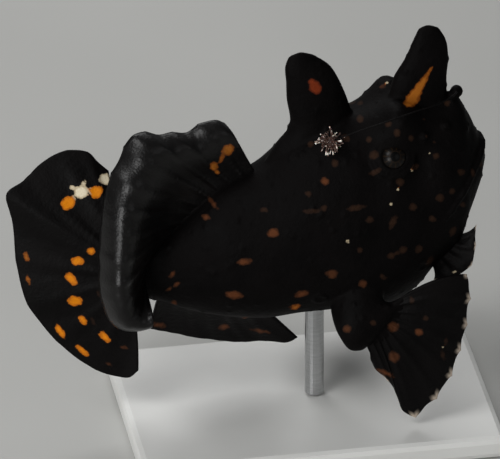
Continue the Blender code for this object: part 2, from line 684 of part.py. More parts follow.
def make_limbs(skin, parts, tools):
    """The two skin-covered spines, the fins, and the arms with their fans."""
    for name, rings, tip in (("dorsal_spine_2", SPINE_TWO, SPINE_TWO_TIP),
                             ("dorsal_spine_3", SPINE_THREE, SPINE_THREE_TIP)):
        clear_of_body(add_object(name, spine_shape(rings, tip), skin, parts), tools)

    for name, fin in (("dorsal_fin", DORSAL), ("caudal_fin", CAUDAL), ("anal_fin", ANAL),
                      ("pelvic_fin_right", FOOT_RIGHT), ("pelvic_fin_left", FOOT_LEFT)):
        clear_of_body(add_object(name, fin_shape(**fin), skin, parts), tools)

    for side, rings, end, hand in (("right", ARM_RIGHT, ARM_RIGHT_END, HAND_RIGHT),
                                   ("left", ARM_LEFT, ARM_LEFT_END, HAND_LEFT)):
        clear_of_body(add_object("arm_" + side, arm_shape(rings, end), skin, parts), tools)
        fan = add_object("pectoral_fin_" + side, fin_shape(**hand), skin, parts)
        room = add_object("arm_room", arm_shape(rings, end, GAP), None, tools)
        combine(fan, [room], "DIFFERENCE", "MANIFOLD")


def make_stand(finish_base, finish_rod, parts, tools):
    """The base plate, and the rod that ends just under the belly."""
    bpy.ops.mesh.primitive_cube_add(size=1.0, location=(0.0, 0.0, STAND_BASE[2] * MM / 2.0))
    base = bpy.context.object
    base.name = "stand_base"
    base.data.transform(Matrix.Diagonal((*[size * MM for size in STAND_BASE], 1.0)))
    base.data.materials.append(finish_base)
    rounding = base.modifiers.new("rounding", "BEVEL")
    rounding.width = STAND_BEVEL * MM
    rounding.segments = STAND_BEVEL_STEPS
    for owner in list(base.users_collection):
        owner.objects.unlink(base)
    parts.objects.link(base)

    x, y = STAND_ROD_AT
    foot = (x, y, STAND_BASE[2] + GAP - FISH_LIFT)
    top = (x, y, STAND_ROD_TOP)
    rod = cone(foot, top, STAND_ROD_RADIUS, STAND_ROD_RADIUS, STAND_ROD_SIDES)
    rod = add_object("stand_rod", rod, finish_rod, parts)
    combine(rod, [add_object("body_room", body_shape(GAP), None, tools)], "DIFFERENCE")


def main():
    for obj in list(bpy.data.objects):
        bpy.data.objects.remove(obj)
    parts = bpy.data.collections.new("painted_frogfish")
    tools = bpy.data.collections.new("cutters")
    for collection in (parts, tools):
        bpy.context.scene.collection.children.link(collection)
    skin = material("wet_black_skin", *SKIN_FINISH)
    lens = material("eye_lens", *LENS_FINISH)
    enamel = material("white_stand_enamel", *ENAMEL_FINISH)
    steel = material("stand_steel", *STEEL_FINISH)

    bm = body_shape()
    tree = BVHTree.FromBMesh(bm)
    bm.free()

    make_head(tree, skin, parts, tools)
    make_eyes(tree, lens, parts)
    make_trunk(tree, skin, parts, tools)
    make_lure(skin, parts, tools)
    make_limbs(skin, parts, tools)
    make_stand(enamel, steel, parts, tools)


main()
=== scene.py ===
"""Looks of the painted frogfish model: wet black skin with orange marks, ribbed fins, lure, eyes and stand.

Sizes are millimetres in the fish's own frame, which to_world turns into the frame's metres: the head
points to +X, up is +Z, and the fish's right side, which the photograph shows, looks towards -Y.
"""
import math
import random

import bmesh
import bpy
import numpy
from mathutils import Matrix, Vector, noise
from mathutils.bvhtree import BVHTree
from mathutils.kdtree import KDTree


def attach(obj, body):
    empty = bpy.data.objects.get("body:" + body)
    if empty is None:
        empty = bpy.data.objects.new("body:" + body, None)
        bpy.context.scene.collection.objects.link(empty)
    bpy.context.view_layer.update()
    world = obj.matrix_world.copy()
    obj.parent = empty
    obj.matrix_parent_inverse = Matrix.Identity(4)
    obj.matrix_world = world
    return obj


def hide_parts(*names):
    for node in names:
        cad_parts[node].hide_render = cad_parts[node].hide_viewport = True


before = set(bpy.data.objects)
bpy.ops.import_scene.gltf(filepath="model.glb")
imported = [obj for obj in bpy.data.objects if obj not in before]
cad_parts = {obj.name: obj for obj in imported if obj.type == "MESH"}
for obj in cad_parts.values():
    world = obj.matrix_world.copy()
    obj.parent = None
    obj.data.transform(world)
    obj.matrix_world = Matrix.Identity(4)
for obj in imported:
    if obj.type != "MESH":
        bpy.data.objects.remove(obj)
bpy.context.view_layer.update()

MM = 0.001
FISH_AHEAD = -7.0
FISH_LIFT = 18.2

# The photograph's frame, and how the camera stands to the fish
PHOTO_WIDTH, PHOTO_HEIGHT = 500, 459
PIXEL = 0.125
CAMERA_AZIMUTH = -10.0
CAMERA_ELEVATION = 30.0
CAMERA_AWAY = 1.2
SENSOR = 36.0
ORIGIN_PIXEL = (250.0, 294.0)

# The body: x, height of the back, height of the belly, half width
BODY_STATIONS = (
    (-16.2, 7.2, 1.9, 1.2),
    (-15.2, 7.8, 1.3, 1.8),
    (-12.3, 8.6, 0.8, 2.4),
    (-9.0, 11.4, -0.4, 3.8),
    (-4.0, 15.6, -1.9, 5.6),
    (1.5, 18.5, -2.5, 6.9),
    (6.0, 22.2, -2.1, 7.7),
    (12.0, 24.8, -2.0, 8.3),
    (17.0, 25.0, -1.9, 8.0),
    (20.5, 25.5, 0.0, 7.3),
    (23.0, 25.8, 3.1, 6.8),
    (25.5, 25.9, 5.0, 5.8),
    (27.4, 23.5, 9.8, 4.2),
    (28.8, 20.2, 13.8, 2.8),
)
TAIL_END = (-16.5, 0.0, 4.5)
SNOUT_END = (29.8, 0.0, 17.0)
WIDEST_AT = 0.42
SIDE_POWER = 0.92
BODY_RINGS = 110
RING_POINTS = 120

# Swellings and hollows in the body's surface, each with its twin on the left: place, reach, height
SWELLINGS = (
    ((17.9, -4.0, 25.3), 4.3, 4.2),
    ((17.0, -6.4, 17.2), 3.2, 0.5),
    ((23.6, -5.6, 17.6), 3.0, 0.6),
    ((13.0, -7.4, 3.0), 4.5, 0.7),
    ((20.4, -5.4, 20.2), 1.6, -0.35),
    ((14.2, -6.3, 21.2), 1.5, -0.25),
)

MOUTH_TIP = (28.9, 20.0)
MOUTH_CORNER = (22.6, 12.0)
LIP_RADIUS = 0.5

EYE_AT = (17.0, 21.4)
EYE_RADIUS = 1.75
EYE_DEPTH = 0.75
LID_RADIUS = 0.38

NOSTRILS_AT = ((20.9, 23.4), (23.9, 23.9))
NOSTRIL_RADIUS = 0.5
NOSTRIL_HEIGHT = 0.7
GILL_PORE_AT = (7.6, 2.6)
GILL_PORE_RADIUS = 0.75

SPINE_TWO = ((21.1, 21.5, 3.8, 1.9), (21.1, 25.6, 3.7, 1.8), (21.3, 28.8, 3.4, 1.5),
             (22.2, 31.8, 2.7, 1.2), (22.5, 34.3, 2.0, 0.9), (22.4, 35.7, 1.3, 0.6))
SPINE_TWO_TIP = (22.2, 0.0, 36.3)
SPINE_THREE = ((7.6, 18.4, 6.0, 2.2), (8.4, 20.8, 5.4, 2.3), (9.0, 23.0, 4.3, 2.1), (8.3, 27.6, 3.7, 1.7),
               (7.8, 29.8, 3.3, 1.5), (7.1, 32.0, 2.7, 1.1), (6.5, 33.3, 1.7, 0.7))
SPINE_THREE_TIP = (6.3, 0.0, 34.0)

ROD_PATH = ((26.0, 0.0, 26.5), (25.6, -1.6, 27.1), (23.5, -3.8, 27.3), (19.5, -6.0, 27.5),
            (16.0, -7.2, 27.2), (12.6, -6.5, 25.8), (9.2, -5.2, 23.9))
ROD_RADIUS = 0.095
ROD_KNOB_RADIUS = 0.82
ROD_FOOT = (24.9, 0.0, 25.0)
TUFT_RADIUS = 0.62
TUFT_FILAMENTS = 110
TUFT_REACH = 1.35

DORSAL = {
    "roots": ((1.0, 0.0, 16.9), (-2.4, 0.0, 15.0), (-7.0, 0.0, 12.0), (-11.0, 0.0, 8.4), (-13.8, 0.0, 6.6)),
    "tips": ((-3.2, 0.2, 24.7), (-4.2, 0.1, 25.3), (-6.1, 0.0, 25.2), (-8.1, -0.3, 24.3),
             (-10.3, -0.7, 24.6), (-11.7, -0.9, 24.5), (-13.6, -1.0, 25.2), (-14.8, -1.2, 25.1),
             (-16.7, -1.9, 22.6), (-18.6, -2.9, 18.8), (-19.5, -3.9, 14.1), (-20.0, -4.8, 9.4),
             (-19.7, -5.6, 4.3), (-18.2, -6.1, 0.8), (-15.9, -6.3, -0.2), (-14.2, -6.4, 0.2)),
    "rays": 13, "bows": ((0.2, -1.4, 0.4), (0.3, -3.4, 0.6), (0.4, -4.4, 0.7), (0.5, -3.4, 0.8)), "late": 3,
}
CAUDAL = {
    "roots": ((-15.0, 0.0, 7.0), (-15.3, 0.0, 4.5), (-15.0, 0.0, 2.0)),
    "tips": ((-17.0, 5.0, 16.6), (-18.3, 5.6, 17.8), (-19.3, 6.0, 19.0), (-21.2, 6.4, 19.3),
             (-23.0, 6.4, 19.1), (-25.4, 6.2, 17.9), (-27.6, 5.6, 16.0), (-29.85, 5.0, 14.9),
             (-29.3, 4.8, 11.2), (-28.8, 3.8, 4.3), (-27.9, 2.8, 0.1), (-26.2, 2.3, -2.9),
             (-23.8, 1.7, -5.9), (-20.8, 1.0, -8.6), (-17.2, 0.3, -10.4), (-15.4, -0.2, -10.5),
             (-14.3, -0.6, -9.3)),
    "rays": 9, "bows": ((-0.4, -0.9, 0.0), (0.3, 0.2, 0.0)),
}
ANAL = {
    "roots": ((1.0, 0.0, -1.2), (-5.0, 0.0, -0.6), (-11.2, 0.0, 2.2)),
    "tips": ((6.6, 3.0, -8.7), (5.9, 3.2, -9.3), (3.2, 4.0, -9.5), (0.4, 4.5, -9.6),
             (-3.8, 4.5, -8.9), (-6.9, 4.2, -7.9), (-9.5, 3.8, -6.8), (-12.2, 2.6, -5.3)),
    "rays": 7, "bows": ((-0.5, 0.8, 0.2), (0.0, 0.5, 0.0)),
}
HAND_RIGHT = {
    "roots": ((13.0, -9.4, -3.1), (14.9, -9.4, -1.9), (16.3, -9.1, 0.0), (17.2, -8.6, 2.5)),
    "tips": ((13.7, -9.5, -5.5), (14.4, -9.6, -7.1), (15.6, -9.7, -8.3), (16.4, -9.8, -9.6),
             (17.1, -9.8, -11.3), (17.9, -9.8, -13.5), (19.2, -9.8, -14.3), (21.1, -9.7, -12.8),
             (23.5, -9.5, -9.9), (24.5, -9.3, -7.4), (25.6, -9.0, -3.8), (26.1, -8.8, -1.4),
             (26.3, -8.7, 0.9), (26.5, -8.6, 2.6), (26.4, -8.5, 4.2), (25.9, -8.4, 5.1)),
    "rays": 10, "bows": ((0.1, -0.4, 0.0), (0.0, -0.9, 1.35)),
}
HAND_LEFT = {
    "roots": ((9.4, 10.0, -1.6), (11.4, 10.4, -1.5), (13.6, 10.4, -1.0), (15.6, 10.0, -0.2)),
    "tips": ((6.9, 15.6, -5.8), (9.4, 17.8, -7.4), (12.6, 18.9, -8.0), (16.0, 18.6, -7.2),
             (18.8, 16.9, -5.4), (20.2, 14.4, -3.0)),
    "rays": 10, "bows": ((-0.3, 0.5, 1.2), (0.4, 0.3, 0.9)),
}
FOOT_RIGHT = {
    "roots": ((25.2, -2.8, 7.9), (24.0, -3.0, 6.1), (22.4, -3.1, 4.3)),
    "tips": ((27.9, -4.4, 9.8), (27.7, -5.2, 7.3), (27.1, -5.9, 4.9), (25.0, -6.3, 3.5), (22.1, -6.2, 3.3)),
    "rays": 5, "bows": ((0.1, -0.5, -0.3), (0.2, -0.6, 0.0)),
}
FOOT_LEFT = {
    "roots": ((25.2, 2.8, 7.9), (24.0, 3.0, 6.1), (22.4, 3.1, 4.3)),
    "tips": ((27.5, 4.8, 9.2), (27.2, 5.5, 7.0), (26.5, 6.0, 4.9), (24.9, 6.4, 3.4), (22.6, 6.2, 2.7)),
    "rays": 5, "bows": ((0.1, 0.5, -0.3), (0.2, 0.6, 0.0)),
}
ARM_RIGHT = (
    ((13.0, -4.6, 3.6), (3.4, 0.0, 2.4), 2.6),
    ((12.5, -7.0, 1.8), (3.3, 0.2, 2.2), 2.4),
    ((12.5, -8.6, 0.4), (2.9, 0.5, 2.1), 2.0),
    ((13.6, -9.3, -0.7), (2.7, 0.5, 2.8), 1.6),
    ((14.8, -9.2, -0.8), (2.5, 0.5, 3.0), 1.1),
)
ARM_RIGHT_END = (15.3, -9.2, -0.9)
ARM_LEFT = (
    ((13.0, 4.6, 3.6), (3.4, 0.0, 2.4), 2.6),
    ((12.5, 7.0, 2.0), (3.6, -0.2, 1.9), 2.4),
    ((12.2, 8.7, 0.4), (3.8, -0.2, 1.3), 1.9),
    ((12.3, 9.9, -0.7), (3.8, -0.2, 0.9), 1.4),
    ((12.5, 10.7, -1.2), (3.7, -0.2, 0.8), 1.0),
)
ARM_LEFT_END = (12.6, 11.1, -1.4)

# A fin's skin: how thick its web and rays are, and how far its root spreads into the body
WEB_THICKNESS = 0.3
RAY_THICKNESS = 0.72
EDGE_THICKNESS = 0.16
ROOT_FLARE = 0.45
ROOT_SINK = 0.09
RAY_SHARE = 0.34
RAY_JOINT = 0.8
COLUMNS_PER_RAY = 12
FIN_ROWS = 64
STUB_REACH = 0.13

VOXEL = 0.213
WARTS = 420

# Marks by their pixels in the photograph: across, down, then half length, half width and turn
# of an oval one, or the radius of a round one
MARKS = {
    "bright": (
        (68, 203, 8, 6.5, -45), (96, 192, 7, 6.5, -30), (91, 251, 4.5, 4, 0), (77, 261, 7, 4.5, 5),
        (71, 279, 8, 4.5, 50), (75, 301, 7.5, 5, 5), (83, 320, 5.5, 3.5, 50), (60, 331, 8, 3.5, 50),
        (105, 337, 7, 3.6, 42), (82, 350, 8, 3.2, 40),
    ),
    "amber": (
        (26, 257, 6, 2.8, 75), (28, 279, 5.5, 2.3, 72), (228, 150, 7, 5.5, -35), (222, 158, 5, 2.5, -60),
        (214, 166, 5, 4, 80), (217, 172, 3.5, 2.4, 30), (295, 307, 5.5, 2.5, -10),
    ),
    "red": ((315, 87, 8, 6, 60), (312, 82, 4)),
    "orange": (
        (213, 203, 7.5, 2.5, 52), (206, 217, 4.5, 3.5, 20), (234, 295, 9.5, 4.2, 3), (244, 262, 7.5, 4, -12),
        (273, 233, 6.5, 5, -10), (302, 294, 7.5, 3.5, -15), (224, 327, 6, 3, -3), (245, 318, 4, 2.3, -35),
        (260, 331, 9, 2.2, 8), (159, 325, 7, 3, 5), (386, 373, 10, 2.8, 20), (172, 275, 4.5, 2.5, -55), (177, 284, 4, 2.5, -35),
        (169, 289, 3.5, 2, -20), (174, 303, 3.5), (123, 347, 5, 2, 12), (325, 181, 4.8, 4, 20),
        (382.5, 86.5, 3.2, 2.0, -20), (108, 364, 4, 1.8, 20), (419, 332, 4.2),
    ),
    "brown": (
        (332, 274, 6.5, 5, 5), (363, 284, 4.6), (347, 329, 4.6), (393, 327, 6.5, 5.5, 0), (394, 357, 6.8, 5.5, 45),
    ),
    "dull": (
        (360, 119, 4.2), (388, 124, 4, 3, -15), (397, 133, 4), (411, 138, 3.4), (369, 140, 3.2),
        (346, 138, 5, 4, 30), (335, 163, 4), (311, 144, 3.6), (374, 155, 5, 4.5, 0), (375, 172, 7, 3, -28),
        (308, 194, 3.4), (400, 182, 4.7, 4.2, 0), (415, 167, 4.5, 2.6, -40), (436, 156, 3.5), (461, 172, 3.8),
        (481, 164, 3.5), (473, 174, 5, 2, 80), (440, 198, 4.4), (452, 191, 3.2), (463, 205, 3),
        (413, 207, 4.3), (356, 208, 9, 3.2, -12), (312, 211, 9, 2.4, -3), (324, 208, 3.6), (370, 220, 4.5, 3.5, 0),
        (393, 222, 8, 3.6, -65), (432, 219, 4, 3.2, 20), (453, 231, 5.5, 3.2, -65), (360, 250, 3),
        (391, 256, 4.6, 3.4, -20), (397, 253, 4, 2.2, -28), (403, 250, 5, 3.6, -30), (419, 249, 5, 3.5, -65),
        (430, 261, 5.5, 3.2, -55), (447, 103, 3.5), (360, 103, 3), (383, 277, 4.5, 2.5, 30), (264, 210, 4.5, 2.5, 10),
        (373, 323, 3), (426, 318, 2.8), (446, 341, 4, 2.4, -70), (443, 355, 5, 2.6, 70), (412, 300, 4, 2.6, 80),
        (98, 293, 3.5, 1.5, 65), (93, 321, 4.5, 2, 65), (424, 119, 1.6), (427, 136, 1.6), (434, 142, 1.6),
    ),
    # White marks: the four large ones on the tail are real white spots; the small dots on the head, the far brow, the
    # snout and the fins are painted glints, highlights set into the skin's colour
    "white": (
        (81, 192, 7.5, 6.5, -20), (74, 188, 5, 2.2, 25), (84, 183, 4.5, 2.4, -70), (105, 179, 6.5, 6, 0),
        (412, 170, 1.4), (398, 190, 1.4), (391, 204, 1.4), (430, 153, 0.9), (348, 241, 2.4, 1.9, 30),
        (443, 347, 1.2), (455, 272, 2.2, 1.0, -5), (387, 83, 1.4), (482, 164, 1.0),
    ),
}
STRIPE = ((432.5, 67), (404.0, 111.5))
STRIPE_HALF_WIDTH = 6.6
STRIPE_WIDEST = 0.7
STRIPE_SHELF = -3.0
MARK_DEPTH = 3.0
MARK_SPREAD = 1.6
# Tones of the marks' colour ramps: the darker tones carry painted shade, and the white tone also paints the glints
TONES = {"dull": 0.0, "brown": 0.1, "orange": 0.2, "red": 0.4, "amber": 0.6, "bright": 0.8, "white": 1.0}


def to_world(point):
    """A point of the fish's frame, in millimetres, as metres in the frame that the CAD uses."""
    x, y, z = point
    return Vector(((x + FISH_AHEAD) * MM, y * MM, (z + FISH_LIFT) * MM))


def smooth(points, share):
    """The point at a share 0 to 1 of the way along a smooth curve through the points."""
    knots = numpy.array(points, dtype=float)
    steps = numpy.linalg.norm(numpy.diff(knots, axis=0), axis=1)
    reach = numpy.concatenate(([0.0], numpy.cumsum(steps)))
    slopes = numpy.gradient(knots, reach, axis=0)
    along = min(max(share, 0.0), 1.0) * reach[-1]
    i = min(int(numpy.searchsorted(reach, along, side="right")) - 1, len(knots) - 2)
    span = reach[i + 1] - reach[i]
    t = (along - reach[i]) / span
    start = (1 + 2 * t) * (1 - t) ** 2 * knots[i] + t * (1 - t) ** 2 * span * slopes[i]
    end = t * t * (3 - 2 * t) * knots[i + 1] - t * t * (1 - t) * span * slopes[i + 1]
    return start + end


def loft(rings, first_end, last_end):
    """A closed bmesh through rings of equal count, closed by a point at each end."""
    bm = bmesh.new()
    loops = [[bm.verts.new(point) for point in ring] for ring in rings]
    for near, far in zip(loops, loops[1:]):
        for k in range(len(near)):
            j = (k + 1) % len(near)
            bm.faces.new((near[k], near[j], far[j], far[k]))
    for loop, end in ((loops[0], first_end), (loops[-1], last_end)):
        point = bm.verts.new(end)
        for k in range(len(loop)):
            bm.faces.new((loop[k], loop[(k + 1) % len(loop)], point))
    bmesh.ops.recalc_face_normals(bm, faces=bm.faces)
    return bm


def tube(path, radii, sides):
    """A closed tube through points, with a radius for each."""
    points = [Vector(point) for point in path]
    rings = []
    across = Vector((0.0, 0.0, 1.0))
    for i, point in enumerate(points):
        heading = (points[min(i + 1, len(points) - 1)] - points[max(i - 1, 0)]).normalized()
        across = (across - heading * across.dot(heading)).normalized()
        other = heading.cross(across)
        turns = [2.0 * math.pi * k / sides for k in range(sides)]
        rings.append([point + (across * math.cos(a) + other * math.sin(a)) * radii[i] for a in turns])
    first = points[0] + (points[0] - points[1]).normalized() * radii[0] * 0.6
    last = points[-1] + (points[-1] - points[-2]).normalized() * radii[-1] * 0.6
    return loft(rings, first, last)


def ball(centre, radii, rows=24, columns=32):
    bm = bmesh.new()
    bmesh.ops.create_uvsphere(bm, u_segments=columns, v_segments=rows, radius=1.0)
    place = Matrix.Translation(Vector(centre)) @ Matrix.Diagonal((*radii, 1.0))
    bmesh.ops.transform(bm, matrix=place, verts=bm.verts)
    return bm


def add_object(name, bm, finish=None):
    """A piece from a bmesh in the fish's frame. Its object sits at the origin."""
    for vertex in bm.verts:
        vertex.co = to_world(vertex.co)
    mesh = bpy.data.meshes.new(name)
    bm.to_mesh(mesh)
    bm.free()
    mesh.shade_smooth()
    if finish is not None:
        mesh.materials.append(finish)
    obj = bpy.data.objects.new(name, mesh)
    bpy.context.scene.collection.objects.link(obj)
    return obj


def pour_into(target, bm):
    """Adds a bmesh to another one."""
    mesh = bpy.data.meshes.new("pour")
    bm.to_mesh(mesh)
    bm.free()
    target.from_mesh(mesh)
    bpy.data.meshes.remove(mesh)


def freeze(obj):
    """Applies an object's modifiers."""
    graph = bpy.context.evaluated_depsgraph_get()
    mesh = bpy.data.meshes.new_from_object(obj.evaluated_get(graph))
    obj.modifiers.clear()
    obj.data = mesh


def body_ring(x, top, bottom, half_width):
    """One cross section, widest a little below its middle."""
    middle = bottom + WIDEST_AT * (top - bottom)
    ring = []
    for k in range(RING_POINTS):
        angle = 2.0 * math.pi * (k + 0.5) / RING_POINTS
        across = math.copysign(abs(math.cos(angle)) ** SIDE_POWER, math.cos(angle))
        up = math.copysign(abs(math.sin(angle)) ** SIDE_POWER, math.sin(angle))
        height = top - middle if up > 0 else middle - bottom
        ring.append((x, half_width * across, middle + height * up))
    return ring


def body_shape():
    """The whole body without fins, raised where it swells."""
    shares = [0.5 - 0.5 * math.cos(math.pi * k / (BODY_RINGS - 1)) for k in range(BODY_RINGS)]
    bm = loft([body_ring(*smooth(BODY_STATIONS, share)) for share in shares], TAIL_END, SNOUT_END)
    bm.normal_update()
    moves = []
    for vertex in bm.verts:
        raised = 0.0
        for place, reach, height in SWELLINGS:
            for side in (1.0, -1.0):
                centre = Vector((place[0], side * place[1], place[2]))
                raised += height * math.exp(-((vertex.co - centre).length / reach) ** 2 * 2.0)
        moves.append(vertex.normal * raised)
    for vertex, move in zip(bm.verts, moves):
        vertex.co += move
    return bm


def mouth_line(tree, share):
    """A point of the mouth's line on the skin: share -1 and 1 are the corners, 0 is the tip."""
    along = Vector((MOUTH_TIP[0] - MOUTH_CORNER[0], 0.0, MOUTH_TIP[1] - MOUTH_CORNER[1])).normalized()
    ahead = Vector((along.z, 0.0, -along.x))
    angle = share * math.pi / 2.0
    direction = along * math.cos(angle) + Vector((0.0, 1.0, 0.0)) * math.sin(angle)
    hit = tree.ray_cast(Vector((MOUTH_CORNER[0], 0.0, MOUTH_CORNER[1])), direction)
    return hit[0], hit[1], ahead


def skin_at(tree, x, z, side):
    """The point and normal of the body at x and z, on the side -1 (right) or 1 (left)."""
    hit = tree.ray_cast(Vector((x, side * 30.0, z)), Vector((0.0, -side, 0.0)))
    return hit[0], hit[1]


def circle_round(centre, axis, radius, count):
    """Points of a circle round an axis."""
    turn = Vector(axis).normalized().to_track_quat("Z", "Y").to_matrix()
    turns = [2.0 * math.pi * k / count for k in range(count)]
    return [Vector(centre) + turn @ Vector((radius * math.cos(a), radius * math.sin(a), 0.0)) for a in turns]


def ring_shape(centre, axis, ring_radius, tube_radius, sides=48, tube_sides=14):
    """A closed torus round an axis."""
    bm = bmesh.new()
    axis = Vector(axis).normalized()
    loops = []
    for point in circle_round(centre, axis, ring_radius, sides):
        outward = (point - Vector(centre)).normalized()
        turns = [2.0 * math.pi * j / tube_sides for j in range(tube_sides)]
        loops.append([bm.verts.new(point + (outward * math.cos(b) + axis * math.sin(b)) * tube_radius)
                      for b in turns])
    for k in range(sides):
        near, far = loops[k], loops[(k + 1) % sides]
        for j in range(tube_sides):
            i = (j + 1) % tube_sides
            bm.faces.new((near[j], near[i], far[i], far[j]))
    bmesh.ops.recalc_face_normals(bm, faces=bm.faces)
    return bm


def spine_shape(rings, tip):
    """A skin-covered spine from level rings of x, height, half length and half thickness."""
    count, sides = 40, 40
    loops = []
    for k in range(count):
        x, height, half_length, half_thickness = smooth(rings, k / (count - 1))
        turns = [2.0 * math.pi * (j + 0.5) / sides for j in range(sides)]
        loops.append([(x + half_length * math.cos(a), half_thickness * math.sin(a), height) for a in turns])
    return loft(loops, (rings[0][0], 0.0, rings[0][1] - 0.5), tip)


def arm_shape(rings, end):
    """An arm: smooth oval rings, each square to the way that the arm runs there."""
    rows = [(*middle, *long_axis, half_thickness) for middle, long_axis, half_thickness in rings]
    count, sides = 26, 48
    samples = [smooth(rows, k / (count - 1)) for k in range(count)]
    loops = []
    for i, sample in enumerate(samples):
        middle, long_axis = Vector(sample[0:3]), Vector(sample[3:6])
        after, before = samples[min(i + 1, count - 1)], samples[max(i - 1, 0)]
        heading = (Vector(after[0:3]) - Vector(before[0:3])).normalized()
        across = heading.cross(long_axis.normalized()).normalized() * sample[6]
        turns = [2.0 * math.pi * (j + 0.5) / sides for j in range(sides)]
        loops.append([middle + long_axis * math.cos(a) + across * math.sin(a) for a in turns])
    return loft(loops, Vector(rings[0][0]), end)


def ray_profile(phase):
    """How much of a ray's ridge stands at a place between two rays: 1 on a ray, 0 on the web."""
    off = min(phase, 1.0 - phase) / RAY_SHARE
    return 0.5 + 0.5 * math.cos(math.pi * min(off, 1.0))


def fin_shape(roots, tips, rays, bows, late=1, notch=0.006, reach=1.0, stub=False, seed=1):
    """A fin's membrane with raised rays. Returns the bmesh, and ray, along and place for each point."""
    per_ray = 4 if stub else COLUMNS_PER_RAY
    rows = 12 if stub else FIN_ROWS
    columns = (rays - 1) * per_ray + 1
    chance = random.Random(seed)
    ray_reach = [1.0 - chance.uniform(0.0, 0.2) * notch for _ in range(rays)]
    web_sag = [notch * chance.uniform(0.7, 1.3) for _ in range(rays)]
    grid, ridge = [], []
    for column in range(columns):
        share = column / (columns - 1)
        ray, phase = divmod(share * (rays - 1), 1.0)
        ray = int(ray)
        root, tip = Vector(smooth(roots, share)), Vector(smooth(tips, share))
        bow = Vector(smooth(bows, share)) * (late + 1) ** (late + 1) / late ** late
        edge = ray_reach[ray] * (1.0 - phase) + ray_reach[min(ray + 1, rays - 1)] * phase
        edge -= web_sag[ray] * math.sin(math.pi * phase) ** 0.6
        ridge.append(ray_profile(phase))
        ts = [(edge * reach + ROOT_SINK) * row / (rows - 1) - ROOT_SINK for row in range(rows)]
        grid.append([root.lerp(tip, t) + bow * t ** late * (1.0 - t) for t in ts])
    sheets, facts = ([], []), []
    for column in range(columns):
        share = column / (columns - 1)
        for row in range(rows):
            t = reach * row / (rows - 1)
            before = grid[max(column - per_ray // 2, 0)][row]
            after = grid[min(column + per_ray // 2, columns - 1)][row]
            below, above = grid[column][max(row - 1, 0)], grid[column][min(row + 1, rows - 1)]
            normal = (after - before).cross(above - below).normalized()
            fade = min(1.0, 12.0 * share * (1.0 - share) + 0.35)
            thickness = WEB_THICKNESS + (RAY_THICKNESS - WEB_THICKNESS) * ridge[column] * fade * (1.0 - 0.45 * t)
            thickness += ROOT_FLARE * (1.0 - t) ** 4 * fade
            thickness += (EDGE_THICKNESS - thickness) * t ** 8
            if stub:
                thickness = (thickness + 0.35) * (1.0 - (row / (rows - 1)) ** 3) + 0.02
            phase = (share * (rays - 1)) % 1.0
            wave = 0.1 * math.sin(math.pi * phase) ** 2 * math.sin(share * 23.0 + t * 5.0) * t
            for sheet, sign in zip(sheets, (1.0, -1.0)):
                sheet.append(grid[column][row] + normal * (sign * thickness / 2.0 + wave))
            facts.append((ridge[column], t, share * (rays - 1), (grid[column][row] - grid[column][0]).length))
    bm = bmesh.new()
    front, back = [[bm.verts.new(point) for point in sheet] for sheet in sheets]
    for column in range(columns - 1):
        for row in range(rows - 1):
            a = column * rows + row
            for sheet in (front, back):
                bm.faces.new((sheet[a], sheet[a + rows], sheet[a + rows + 1], sheet[a + 1]))
    edge = [column * rows for column in range(columns)]
    edge += [(columns - 1) * rows + row for row in range(1, rows)]
    edge += [column * rows + rows - 1 for column in range(columns - 2, -1, -1)]
    edge += [row for row in range(rows - 2, 0, -1)]
    for i, a in enumerate(edge):
        b = edge[(i + 1) % len(edge)]
        bm.faces.new((front[a], front[b], back[b], back[a]))
    bmesh.ops.recalc_face_normals(bm, faces=bm.faces)
    return bm, facts + facts


def linear(hex_colour):
    """An sRGB hex colour as linear RGBA."""
    values = [int(hex_colour[i:i + 2], 16) / 255.0 for i in (1, 3, 5)]
    return tuple(v / 12.92 if v <= 0.04045 else ((v + 0.055) / 1.055) ** 2.4 for v in values) + (1.0,)


def new_material(name):
    made = bpy.data.materials.new(name)
    made.use_nodes = True
    tree = made.node_tree
    return made, tree, tree.nodes["Principled BSDF"]


def add(tree, kind, settings=None, **links):
    """Adds a node: settings are its properties, links its inputs by name, each a value or a socket."""
    made = tree.nodes.new(kind)
    for key, value in (settings or {}).items():
        setattr(made, key, value)
    for key, value in links.items():
        name = key.replace("_", " ")
        socket = made.inputs[int(key[3:])] if key.startswith("in_") else made.inputs[name]
        if isinstance(value, bpy.types.NodeSocket):
            tree.links.new(value, socket)
        else:
            socket.default_value = value
    return made


def ramp(tree, source, stops):
    """A colour ramp node over a source socket."""
    made = add(tree, "ShaderNodeValToRGB", Fac=source)
    elements = made.color_ramp.elements
    while len(elements) > 1:
        elements.remove(elements[-1])
    elements[0].position, elements[0].color = stops[0]
    for position, value in stops[1:]:
        elements.new(position).color = value
    return made.outputs["Color"]


def per_mm(size):
    """The scale that gives a pattern features of about this size in millimetres."""
    return 1.0 / (size * MM)


